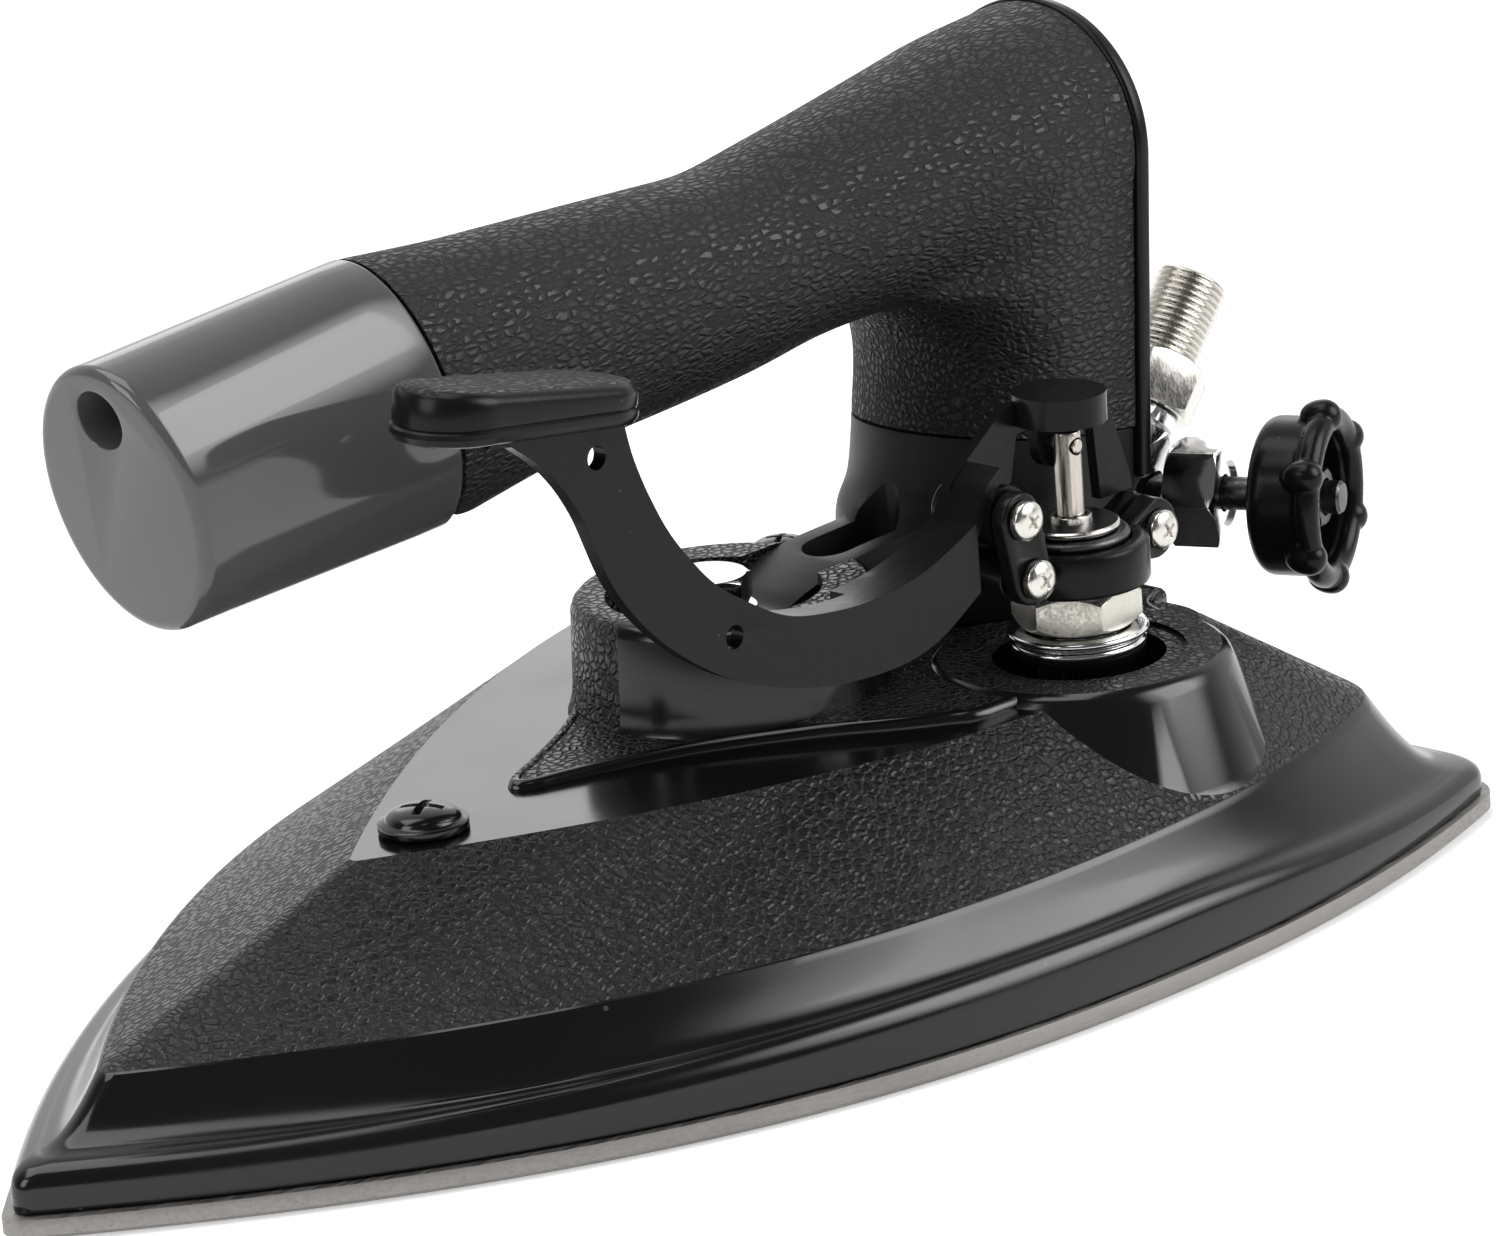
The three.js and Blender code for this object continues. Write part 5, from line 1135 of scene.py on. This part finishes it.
class IRON_OT_lever(Operator):
    """Model the thumb lever with its flanges, web and cap"""

    bl_idname = "iron.lever"
    bl_label = "Thumb lever"

    def execute(self, context):
        size = context.scene.iron_lever

        def scaled(shares):
            return [(across * size.reach, up * size.rise) for across, up in shares]

        near, far, flange = -size.half_width, size.half_width, 0.0016
        outer = spline(scaled(LEVER_OUTER_SHARES), 6)
        inner = spline(scaled(LEVER_INNER_SHARES), 6)
        shoulder = spline(scaled(LEVER_SHOULDER_SHARES), 4)
        whole = slab([*outer, *reversed(inner)], near, near + 0.002)
        parts = [
            slab(strip(inner, flange), near + 0.0001, near + 0.0046),
            slab(strip([*inner[-20:], *shoulder[1:]], flange), near + 0.00035, far),
            slab(strip([outer[0], inner[0]], flange), near + 0.0002, far),
            slab(scaled(LEVER_FAR_SHARES), far - 0.0015, far),
            along_y(rod(0.0039, -far, far)),
            shifted(moved(rod(0.006, 0.0082, 0.012, ROUND_STEPS), Matrix.Rotation(0.035, 4, "Y")), 0.0144),
        ]
        united(whole, *parts)
        stem_x, pin_z = VALVE.x - UPPER_PIVOT.x, 0.0047
        tongue = slab(oblong((stem_x, pin_z), (stem_x, 0.0082), 0.0031), far - 0.0015, far)
        united(whole, tongue)
        holes = [((0, 0), 0.0017), ((stem_x, pin_z), 0.00135)]
        holes += [((across * size.reach, up * size.rise), 0.0015)
                  for across, up in ((-0.8148, 0.8454), (-0.5744, -0.0625))]
        carved(whole, *[shifted(along_y(rod(radius, -0.006, 0.006, 32)), x, 0, z) for (x, z), radius in holes])
        softened(whole, 0.00035, 3)
        moved(whole, Matrix.Translation(UPPER_PIVOT))
        delivered(whole, "lever_dressed", "lever_black", "lever_black", "thumb_lever")
        return {"FINISHED"}


class IRON_OT_pad(Operator):
    """Model the thumb pad with its lip"""

    bl_idname = "iron.pad"
    bl_label = "Thumb pad"

    def execute(self, context):
        size = context.scene.iron_lever
        thickness, lip, tilt = 0.0053, 0.0004, 0.2
        half = size.pad_width / 2
        reach = size.pad_length / 2 - half
        levels = [(0.0016, -thickness), (0.0005, -thickness + 0.0004), (0, -thickness + 0.0012),
                  (0, -thickness + 0.0018), (lip, -thickness + 0.0021), (lip / 2, -thickness + 0.0025),
                  (0.0002, -0.0014), (0.0005, -0.0007), (0.0012, -0.0002), (0.0022, 0)]
        rings = []
        for inset, height in levels:
            outline = oblong((-reach, 0), (reach, 0), half - inset, 32)
            deeper = 0.0010 if height < -0.0025 else 0.0
            rings.append([(x, y, height - deeper * max(0.0, -x) / reach) for x, y in outline])
        pad = skinned(rings)
        placing = Matrix.Translation(UPPER_PIVOT + Vector((-0.07775, 0, 0.03138 + thickness)))
        moved(pad, placing @ Matrix.Rotation(tilt, 4, "Y"))
        two_tone(pad, "lever_black", "grip_grain_black", lambda polygon: polygon.normal.z > 0.9)
        delivered(pad, "pad_dressed", None, "grip_black", "thumb_pad")
        return {"FINISHED"}


# Screws, nuts and threads


def cross_head(radius, thickness, low, flange=0.0):
    """Domed head with a cross recess, standing on a height; a flange widens its foot."""
    dome = radius - flange
    profile = [(0, low), (radius, low), (radius, low + thickness * 0.30),
               (radius - flange * 0.5, low + thickness * 0.36)]
    profile += [(dome * math.cos(math.radians(a)), low + thickness * (0.42 + 0.58 * math.sin(math.radians(a))))
                for a in range(0, 90, 9)]
    head = turned([*profile, (0, low + thickness)], 64)
    reach, half, depth, top = radius * 0.58, radius * 0.115, thickness * 0.62, low + thickness
    arms = []
    for turn in (0, math.pi / 2):
        rings = [[(x * reach * share, y * half * share, z) for x, y in ((-1, -1), (1, -1), (1, 1), (-1, 1))]
                 for share, z in ((0.45, top - depth), (1, top + OVERRUN / 8))]
        arms.append(moved(skinned(rings), Matrix.Rotation(turn + 0.5, 4, "Z")))
    carved(head, *arms)
    return softened(head, radius * 0.03, 2)


def pivot_screw(x, z, under_head, tail):
    """Screw along Y through a pivot, its head on the near side."""
    screw = joined(cross_head(0.00255, 0.0017, under_head), rod(0.0014, -tail, under_head + SEAT))
    return shifted(along_y(screw), x, VALVE.y, z)


def hexagon(across_flats, low, high, chamfer):
    """Hexagon bar with its corners turned off at both ends."""
    corner = across_flats / math.sqrt(3)
    turns = [math.radians(30 + 60 * side) for side in range(6)]
    outline = [(corner * math.cos(a), corner * math.sin(a)) for a in turns]
    bar = skinned([ring_at(outline, low), ring_at(outline, high)])
    cone = turned([(0, low), (corner - chamfer, low), (corner + 0.0001, low + chamfer * 0.9),
                   (corner + 0.0001, high - chamfer * 0.9), (corner - chamfer, high), (0, high)])
    combined(bar, "INTERSECT", [cone])
    return softened(bar, 0.00015, 2)


def threaded(radius, depth, pitch, low, high):
    """Rod with a real helical thread and turned-off ends."""
    root = radius - depth
    start = low - 2 * pitch
    turns = math.ceil((high - low) / pitch) + 4
    profile = [(root, 0, start), (root, 0, start + pitch * 0.12), (radius, 0, start + pitch * 0.44),
               (radius, 0, start + pitch * 0.56), (root, 0, start + pitch * 0.88), (root, 0, start + pitch)]
    thread = wire(profile, closed=False)
    modified(thread, "SCREW", axis="Z", angle=2 * math.pi, screw_offset=pitch, iterations=turns, steps=48,
             render_steps=48, use_merge_vertices=True, merge_threshold=1e-6, use_normal_calculate=True)
    edit(thread)
    bpy.ops.mesh.remove_doubles(threshold=1e-6)
    bpy.ops.mesh.select_all(action="SELECT")
    bpy.ops.mesh.fill_holes(sides=0)
    close_up()
    ends = turned([(0, low), (root, low), (radius + 0.0001, low + depth + 0.0001),
                   (radius + 0.0001, high - depth - 0.0001), (root, high), (0, high)])
    return combined(thread, "INTERSECT", [ends])


# Steam valve


class ValveSizes(PropertyGroup):
    """Steam valve under the thumb lever."""

    washer_radius: metres("Washer", "Radius of the washer", 0.0090)
    nut_flats: metres("Nut", "Across the flats of the valve nut", 0.0144)
    ring_radius: metres("Clamp ring", "Radius of the clamp ring", 0.00965)
    stem_radius: metres("Stem", "Radius of the stem", 0.00175)
    ear_reach: metres("Ear", "From the axis to the clamp ring's screw", 0.0124)


def on_valve(piece):
    return shifted(piece, VALVE.x, VALVE.y)


class IRON_OT_valve(Operator):
    """Model the washer, nut, bonnet, gland disc, stem and pin of the valve"""

    bl_idname = "iron.valve"
    bl_label = "Steam valve"

    def execute(self, context):
        size = context.scene.iron_valve
        bore, radius = 0.0068, size.washer_radius
        rim = arc((radius - 0.00045, 0.03625), 0.00045, -80, 100, 10)
        washer = turned([(bore, 0.0353), (radius - 0.0011, 0.0353), (radius - 0.0007, 0.0355),
                         (radius - 0.0007, 0.03575), *rim, (radius - 0.0011, 0.0368), (bore, 0.0368)],
                        closed=True)
        collar = softened(turned([(0.0071, 0.0333), (radius - 0.0004, 0.0333), (radius - 0.0004, 0.0350),
                                  (radius - 0.0009, 0.0354), (0.0071, 0.0354)], closed=True), 0.0002, 2)
        joined(washer, collar)
        two_tone(washer, "chrome", "gloss_black", lambda polygon: polygon.center.z < 0.0348)
        delivered(on_valve(washer), "washer_dressed", None, "chrome", "valve_washer")
        nut = hexagon(size.nut_flats, 0.0371, 0.0421, 0.00125)
        carved(nut, rod(bore, 0.036, 0.043))
        moved(nut, Matrix.Rotation(math.radians(34), 4, "Z"))
        delivered(on_valve(nut), "valve_nut_dressed", "nut_metal", "nut_metal", "valve_nut")
        outer = 0.0073
        bonnet = turned([(0.00205, 0.038), (0.0046, 0.038), (0.0046, 0.0424), (outer, 0.0424),
                         (outer, 0.0470), (outer - 0.0002, 0.0474), (outer - 0.0002, 0.0480), (outer, 0.0484),
                         (outer, 0.0488), (outer - 0.0004, 0.0492), (0.00205, 0.0492)], closed=True)
        delivered(on_valve(softened(bonnet, 0.00015, 2)), "bonnet_dressed", "dark_steel",
                  "dark_steel", "valve_bonnet")
        low, top, edge = 0.0495, 0.0503, 0.00615
        gland = turned([(0.00205, low), (edge - 0.0002, low),
                        *arc((edge - 0.0003, low + 0.0004), 0.0003, -60, 60, 6), (edge - 0.0003, top),
                        (0.0027, top), (0.0026, top + 0.0008), (0.0025, top + 0.0009),
                        (0.00205, top + 0.0009)], closed=True)
        two_tone(gland, "dark_steel", "nickel", lambda polygon: polygon.center.z > top + 0.0002
                 or Vector(polygon.center[:2]).length > edge - 0.0005)
        delivered(on_valve(gland), "gland_dressed", None, "dark_steel", "gland_disc")
        radius, high, pin_z = size.stem_radius, 0.0621, 0.0602
        stem = turned([(0, 0.0233), (radius, 0.0233), (radius, high - 0.00035),
                       (radius - 0.0001, high - 0.0001), (radius - 0.00035, high), (0, high)])
        carved(stem, shifted(along_y(rod(0.00115, -0.004, 0.004)), 0, 0, pin_z))
        delivered(on_valve(stem), "stem_dressed", "stem_metal", "nickel", "valve_stem")
        pin = along_y(turned([(0, -0.0034), (0.0009, -0.0034), (0.0009, 0.00175), (0.0007, 0.0019),
                              (0, 0.0019)], SMALL_STEPS))
        delivered(shifted(pin, VALVE.x, VALVE.y, pin_z), "stem_pin_dressed", "stem_metal",
                  "dark_steel", "stem_pin")
        return {"FINISHED"}


class IRON_OT_ring(Operator):
    """Model the clamp ring with its lug and its slit ear, and the screw in the ear"""

    bl_idname = "iron.ring"
    bl_label = "Clamp ring"

    def execute(self, context):
        size = context.scene.iron_valve
        radius, bore, low, high = size.ring_radius, 0.0076, 0.0424, 0.0481
        ring = turned([(0, low), (radius - 0.0007, low), (radius - 0.0002, low + 0.0002),
                       (radius, low + 0.0007), (radius, high - 0.0007),
                       (radius - 0.0002, high - 0.0002), (radius - 0.0007, high),
                       (0, high)], 128)
        lug_x, lug_z, lug_radius = LOWER_PIVOT.x - VALVE.x, LOWER_PIVOT.z, 0.0034
        lug = [*arc((lug_x, lug_z), lug_radius, 90, 225, 20), (lug_x + lug_radius, low),
               (SEAT - bore, low), (SEAT - bore, high)]
        ear_x, ear_z, ear_radius = size.ear_reach, 0.0464, 0.0039
        ear = [*arc((ear_x, ear_z), ear_radius, -90, 90, 28), (bore, high), (bore, low + 0.0007)]
        united(ring, softened(slab(lug, -0.0034, 0.0034), 0.0004, 3),
               softened(slab(ear, -0.0033, 0.0033), 0.0004, 3))
        reach = ear_x + ear_radius + OVERRUN
        slit = slab([(0, ear_z - 0.012), (reach, ear_z - 0.012), (reach, ear_z + 0.012), (0, ear_z + 0.012)],
                    -0.00045, 0.00045)
        holes = [shifted(along_y(rod(0.0017, -0.006, 0.006)), x, 0, z)
                 for x, z in ((lug_x, lug_z), (ear_x, ear_z))]
        carved(ring, rod(bore, low - OVERRUN, high + 0.006, 128), slit, *holes)
        softened(ring, 0.0002, 2)
        delivered(on_valve(ring), "clamp_ring_dressed", "lever_black", "lever_black", "clamp_ring")
        screw = pivot_screw(VALVE.x + ear_x, ear_z, 0.0036, 0.0042)
        delivered(screw, "clamp_screw_dressed", "nickel", "nickel", "clamp_screw")
        return {"FINISHED"}


class IRON_OT_links(Operator):
    """Model the two link plates and their pivot screws"""

    bl_idname = "iron.links"
    bl_label = "Links"

    def execute(self, context):
        outside, thickness = 0.0039, 0.0022
        lower = LOWER_PIVOT - UPPER_PIVOT
        ends = ((0, 0), (lower.x, lower.z))
        for name, near in (("near", -outside - thickness), ("far", outside)):
            plate = slab(oblong(*ends, 0.0034, 28), near, near + thickness)
            carved(plate, *[shifted(along_y(rod(0.0017, -0.01, 0.01)), x, 0, z) for x, z in ends])
            softened(plate, 0.0004, 3)
            moved(plate, Matrix.Translation(UPPER_PIVOT))
            delivered(plate, f"link_{name}_dressed", "lever_black", "lever_black",
                      f"link_plate_{name}")
        under_head, tail = outside + thickness + SEAT, outside + thickness + 0.0009
        for name, place in (("upper", UPPER_PIVOT), ("lower", LOWER_PIVOT)):
            screw = pivot_screw(place.x, place.z, under_head, tail)
            delivered(screw, f"link_screw_{name}_dressed", "nickel", "nickel",
                      f"link_screw_{name}")
        return {"FINISHED"}


# Steam fitting and drain, drawn round the middle of the fitting


class FittingSizes(PropertyGroup):
    """Steam inlet, drain and handwheel."""

    ball_radius: metres("Ball", "Radius of the fitting's middle", 0.0063)
    nipple_radius: metres("Nipple", "Radius over the inlet thread", 0.00486)
    thread_pitch: metres("Pitch", "Pitch of the inlet thread", 0.000907)
    wheel_radius: metres("Handwheel", "Radius of the handwheel's drum", 0.0105)
    lugs: IntProperty(name="Lugs", description="Knobs on the handwheel's rim", default=6, min=3)


def on_inlet(piece):
    return moved(piece, Matrix.Translation(FITTING) @ INLET_TURN)


def on_drain(piece):
    return moved(piece, Matrix.Translation(FITTING) @ DRAIN_TURN)


class IRON_OT_fitting(Operator):
    """Model the steam fitting, the threaded inlet nipple, the drain nut and its spindle"""

    bl_idname = "iron.fitting"
    bl_label = "Steam fitting"

    def execute(self, context):
        size = context.scene.iron_fitting
        ball_outline = arc((0, 0), size.ball_radius, -90, 90, 40)
        ball = moved(turned(ball_outline), Matrix.Translation(FITTING))
        pipe = moved(rod(0.005, -0.0247, 0, ROUND_STEPS), Matrix.Translation(FITTING))
        barrel = on_inlet(turned([(0, 0), (0.0065, 0), (0.0065, 0.009), (0.0054, 0.0101), (0.0054, 0.0118),
                                  (0, 0.0118)]))
        branch = on_drain(rod(0.0056, 0, 0.0095, ROUND_STEPS))
        united(ball, pipe, barrel, branch)
        carved(ball, on_inlet(rod(0.0035, 0, 0.013)), on_drain(rod(0.0026, 0, 0.011)))
        softened(ball, 0.0003, 3)
        delivered(ball, "fitting_dressed", "chrome", "chrome", "steam_fitting")
        nipple = hexagon(0.013, 0.0121, 0.0191, 0.0009)
        thread = threaded(size.nipple_radius, 0.00055, size.thread_pitch, 0.0199, 0.031)
        neck = rod(size.nipple_radius - 0.0006, 0.0185, 0.0204, ROUND_STEPS)
        united(nipple, neck, thread)
        carved(nipple, turned([(0, 0), (0.0032, 0), (0.0032, 0.0305), (0.0038, 0.0312), (0, 0.0312)]))
        delivered(on_inlet(nipple), "nipple_dressed", "nickel", "nickel", "inlet_nipple")
        nut = hexagon(0.0128, 0.0098, 0.017, 0.0008)
        collar = turned([(0, 0.0165), (0.0043, 0.0165), (0.0043, 0.0198), (0.0039, 0.0202), (0, 0.0202)])
        united(nut, collar)
        carved(nut, rod(0.0025, 0, 0.021))
        delivered(on_drain(nut), "drain_nut_dressed", "chrome", "nickel", "drain_nut")
        spindle = turned([(0, 0.0054), (0.0018, 0.0054), (0.0022, 0.0058), (0.0022, 0.0322), (0.0019, 0.0326),
                          (0, 0.0326)])
        delivered(on_drain(spindle), "spindle_dressed", "dark_steel", "nickel", "drain_spindle")
        return {"FINISHED"}


class IRON_OT_wheel(Operator):
    """Model the drain's handwheel with its knobs, and its nut"""

    bl_idname = "iron.wheel"
    bl_label = "Handwheel"

    def execute(self, context):
        size = context.scene.iron_fitting
        radius, low, high, bore = size.wheel_radius, 0.022, 0.030, 0.0025
        drum = turned([(bore, low), (radius - 0.0032, low),
                       *arc((radius - 0.0022, low + 0.0022), 0.0022, -80, 0, 10),
                       (radius, high - 0.0014), (radius - 0.0006, high - 0.0008), (radius - 0.0006, high),
                       (0.0082, high), (0.0082, 0.026), (0.0042, 0.026), (0.0042, 0.0276), (bore, 0.0276)],
                      closed=True)
        rim = turned(arc((0.0102, 0.0306), 0.00175, 0, 337.5, 15), closed=True)
        lugs = []
        for lug in range(size.lugs):
            knob = turned([(0.0023 * math.cos(math.radians(a)), 0.0023 * math.sin(math.radians(a))
                            * (1.45 if a < 0 else 1.0)) for a in range(-90, 91, 10)], 32)
            angle = 2 * math.pi * lug / size.lugs
            lugs.append(shifted(knob, 0.0109 * math.cos(angle), 0.0109 * math.sin(angle), 0.0306))
        joined(drum, rim, *lugs)
        modified(drum, "REMESH", mode="VOXEL", voxel_size=0.00022, use_smooth_shade=True)
        modified(drum, "SMOOTH", factor=0.5, iterations=5)
        delivered(on_drain(drum), "handwheel_dressed", "lever_black", "bracket_black", "handwheel")
        nut = hexagon(0.007, 0.0279, 0.0303, 0.0005)
        carved(nut, rod(bore, 0.027, 0.031))
        delivered(on_drain(nut), "wheel_nut_dressed", "dark_steel", "dark_steel", "wheel_nut")
        return {"FINISHED"}


class IRON_OT_screws(Operator):
    """Model the cover screws, the plate's screw and the front bolt with its washer"""

    bl_idname = "iron.screws"
    bl_label = "Screws and bolt"

    def execute(self, context):
        for name, radius, flange in (("front", 0.0056, 0.0009), ("rear", 0.004, 0.0)):
            low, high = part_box(f"cover_screw_{name}")
            middle = (Vector(low) + Vector(high)) / 2
            under_head = high[2] - 0.0028
            shaft = rod(0.0022, low[2], under_head + SEAT)
            screw = joined(cross_head(radius, 0.0028, under_head, flange), shaft)
            delivered(shifted(screw, middle.x, middle.y), f"cover_screw_{name}_dressed",
                      "gloss_black", "lever_black", f"cover_screw_{name}")
        low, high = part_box("plate_screw")
        length = high[0] - low[0]
        screw = joined(cross_head(0.0032, 0.002, length - 0.002), rod(0.0017, 0, length - 0.0018))
        delivered(along_x(screw, (low[0], 0, (low[2] + high[2]) / 2)), "plate_screw_dressed", "dark_steel",
                  "dark_steel", "plate_screw")
        foot = 0.0423
        washer = softened(turned([(0.0033, foot + SEAT), (0.0062, foot + SEAT), (0.0062, foot + 0.0015),
                                  (0.0033, foot + 0.0015)], closed=True), 0.0003, 3)
        delivered(shifted(washer, FRONT_X), "front_washer_dressed", "chrome", "chrome",
                  "front_washer")
        bolt = hexagon(0.010, 0.0441, 0.0481, 0.0008)
        joined(bolt, rod(0.003, 0.030, 0.0442))
        delivered(shifted(bolt, FRONT_X), "front_bolt_dressed", "chrome", "chrome", "front_bolt")
        return {"FINISHED"}


# Nodes that keep their CAD mesh, with the finish each one gets
INNER_FINISHES = {
    "chamber_gasket": "gasket_red", "chamber_lid": "cast_metal", "lid_screw_1": "dark_steel",
    "lid_screw_2": "dark_steel", "lid_screw_3": "dark_steel", "lid_screw_4": "dark_steel",
    "lid_screw_5": "dark_steel", "handle_stud": "dark_steel", "cap_screw": "dark_steel",
    "valve_body": "chrome", "valve_plug": "brass", "valve_spring": "nickel", "drain_disc": "brass",
}


class IRON_OT_inner(Operator):
    """Give the hidden pieces their finishes"""

    bl_idname = "iron.inner"
    bl_label = "Hidden pieces"

    def execute(self, context):
        for name, finish in INNER_FINISHES.items():
            materials = frame["nodes"][name].data.materials
            materials.clear()
            materials.append(finish_named(finish))
        return {"FINISHED"}


# Studio and camera


class StudioSizes(PropertyGroup):
    """Camera and lights of the studio."""

    azimuth: FloatProperty(name="Azimuth", description="Direction of the camera round the iron, in degrees",
                           default=-45.34)
    elevation: FloatProperty(name="Elevation", description="Height angle of the camera, in degrees",
                             default=17.4)
    roll: FloatProperty(name="Roll", description="Roll of the camera, in degrees", default=-4.2)
    distance: metres("Distance", "From the camera to the iron's middle", 0.961)
    lens: FloatProperty(name="Lens", description="Focal length in millimetres on a 36 mm sensor",
                        default=184.4)


# The camera looks at a place this far right of the iron's origin and above it
AIM_RIGHT, AIM_UP = 0.0127, 0.0443


def add_camera(studio):
    a, e, roll = (math.radians(v) for v in (studio.azimuth, studio.elevation, studio.roll))
    back = Vector((math.sin(a) * math.cos(e), -math.cos(a) * math.cos(e), math.sin(e)))
    right = (-back).cross(Vector((0, 0, 1))).normalized()
    up = right.cross(-back)
    right, up = math.cos(roll) * right + math.sin(roll) * up, math.cos(roll) * up - math.sin(roll) * right
    place = back * studio.distance + right * AIM_RIGHT + up * AIM_UP
    deselect()
    bpy.ops.object.camera_add()
    camera = bpy.context.object
    camera.matrix_world = Matrix.Translation(place) @ Matrix((right, up, back)).transposed().to_4x4()
    camera.data.sensor_width = 36
    camera.data.lens = studio.lens
    camera.data.clip_end = 50
    bpy.context.scene.camera = camera


def add_lamp(name, place, aim, size, power, height=None):
    deselect()
    bpy.ops.object.light_add(type="AREA", location=place)
    lamp = bpy.context.object
    lamp.name = name
    lamp.rotation_euler = (Vector(aim) - Vector(place)).to_track_quat("-Z", "Y").to_euler()
    lamp.data.energy = power
    lamp.data.size = size
    if height:
        lamp.data.shape = "RECTANGLE"
        lamp.data.size_y = height
    return lamp


def seen_rays(tree, path):
    """One for rays of the camera, of a reflection or through glass, and nought for light on the iron."""
    seen = math_node(tree, "MAXIMUM", path["Is Camera Ray"], path["Is Glossy Ray"])
    return math_node(tree, "MAXIMUM", seen, path["Is Transmission Ray"])


def patch(tree, direction, aim, start, end, low, high):
    """Brightness that changes smoothly with how closely a direction follows the aim."""
    match = node(tree, "ShaderNodeVectorMath", {0: direction, 1: aim}, operation="DOT_PRODUCT")
    made = node(tree, "ShaderNodeMapRange", {"Value": match.outputs["Value"], "From Min": start,
                                             "From Max": end, "To Min": low, "To Max": high},
                interpolation_type="SMOOTHSTEP")
    return made.outputs["Result"]


def add_world():
    """Pale studio: white round the horizon behind the iron, darker above and beside the camera."""
    world = bpy.data.worlds.new("studio")
    bpy.context.scene.world = world
    world.use_nodes = True
    tree = world.node_tree
    background = tree.nodes["Background"]
    path = tree.nodes.new("ShaderNodeLightPath").outputs
    seen = seen_rays(tree, path)
    direction = tree.nodes.new("ShaderNodeTexCoord").outputs["Generated"]
    pale = patch(tree, direction, (0.68, 0.67, -0.3), -0.15, 0.55, 0.10, 1.0)
    window = patch(tree, direction, (0.48, -0.70, 0.53), 0.86, 0.97, 0.0, 4.8)
    glow = patch(tree, direction, (0.66, 0.671, 0.339), 0.93, 0.99, 0.0, 0.35)
    level = node(tree, "ShaderNodeMix", {"Factor": seen}, data_type="FLOAT")
    level.inputs["A"].default_value = 0.45
    lit = math_node(tree, "ADD", math_node(tree, "MAXIMUM", pale, window),
                    math_node(tree, "MULTIPLY", glow, path["Is Glossy Ray"]))
    tree.links.new(lit, level.inputs["B"])
    tree.links.new(level.outputs["Result"], background.inputs["Strength"])
    background.inputs["Color"].default_value = (1, 1, 1, 1)


def add_floor():
    """Pale floor that stays white to the camera and keeps the iron's shadow."""
    deselect()
    bpy.ops.mesh.primitive_circle_add(vertices=64, radius=8, fill_type="NGON", location=(0, 0, -0.0002))
    floor = bpy.context.object
    bpy.ops.object.transform_apply(location=True, rotation=True, scale=True)
    floor.name = "floor"
    material = bpy.data.materials.new("floor_white")
    material.use_nodes = True
    shader = material.node_tree.nodes["Principled BSDF"]
    shader.inputs["Base Color"].default_value = (0.86, 0.86, 0.86, 1)
    shader.inputs["Roughness"].default_value = 0.9
    shader.inputs["Specular IOR Level"].default_value = 0.0
    tree = material.node_tree
    path = tree.nodes.new("ShaderNodeLightPath").outputs
    seen = seen_rays(tree, path)
    tree.links.new(math_node(tree, "MULTIPLY", seen, 0.42), shader.inputs["Emission Strength"])
    shader.inputs["Emission Color"].default_value = (1, 1, 1, 1)
    floor.data.materials.append(material)


class IRON_OT_studio(Operator):
    """Set up the floor, the lights, the world and the camera"""

    bl_idname = "iron.studio"
    bl_label = "Studio"

    def execute(self, context):
        context.scene.view_settings.view_transform = "Standard"
        add_camera(context.scene.iron_studio)
        add_world()
        add_floor()
        middle = (0, 0, 0.05)
        add_lamp("lamp_top", (-0.2, 0.3, 1.5), middle, 1.2, 14.0)
        add_lamp("lamp_left", (-1.5, 0.2, 0.8), middle, 0.7, 9.0, 1.0)
        add_lamp("lamp_right", (0.82, -1.19, 0.95), middle, 0.9, 6.5, 0.9)
        add_lamp("lamp_behind", (0.76, 0.785, 0.437), (-0.03, -0.02, 0.03), 0.6, 0.6, 0.3)
        return {"FINISHED"}


class IRON_PT_panel(Panel):
    """Buttons for every step of the iron"""

    bl_label = "Steam iron"
    bl_idname = "IRON_PT_panel"
    bl_space_type = "VIEW_3D"
    bl_region_type = "UI"
    bl_category = "Steam iron"

    def draw(self, context):
        for operator in STEPS:
            self.layout.operator(operator.bl_idname)


GROUPS = {"iron_look": LookSizes, "iron_sole": SoleSizes, "iron_cover": CoverSizes,
          "iron_handle": HandleSizes, "iron_lever": LeverSizes, "iron_valve": ValveSizes,
          "iron_fitting": FittingSizes, "iron_studio": StudioSizes}
STEPS = [IRON_OT_studio, IRON_OT_finishes, IRON_OT_sole, IRON_OT_cover, IRON_OT_grip, IRON_OT_cap,
         IRON_OT_plate, IRON_OT_bracket, IRON_OT_lever, IRON_OT_pad, IRON_OT_links, IRON_OT_ring,
         IRON_OT_valve, IRON_OT_fitting, IRON_OT_wheel, IRON_OT_screws, IRON_OT_inner]
CLASSES = [*GROUPS.values(), *STEPS, IRON_PT_panel]


def register():
    for kind in CLASSES:
        bpy.utils.register_class(kind)
    for name, kind in GROUPS.items():
        setattr(bpy.types.Scene, name, PointerProperty(type=kind))


def unregister():
    for name in GROUPS:
        delattr(bpy.types.Scene, name)
    for kind in reversed(CLASSES):
        bpy.utils.unregister_class(kind)


def main():
    """Register everything and run every step in order."""
    register()
    for operator in STEPS:
        space, name = operator.bl_idname.split(".")
        getattr(getattr(bpy.ops, space), name)()


if __name__ == "__main__":
    main()
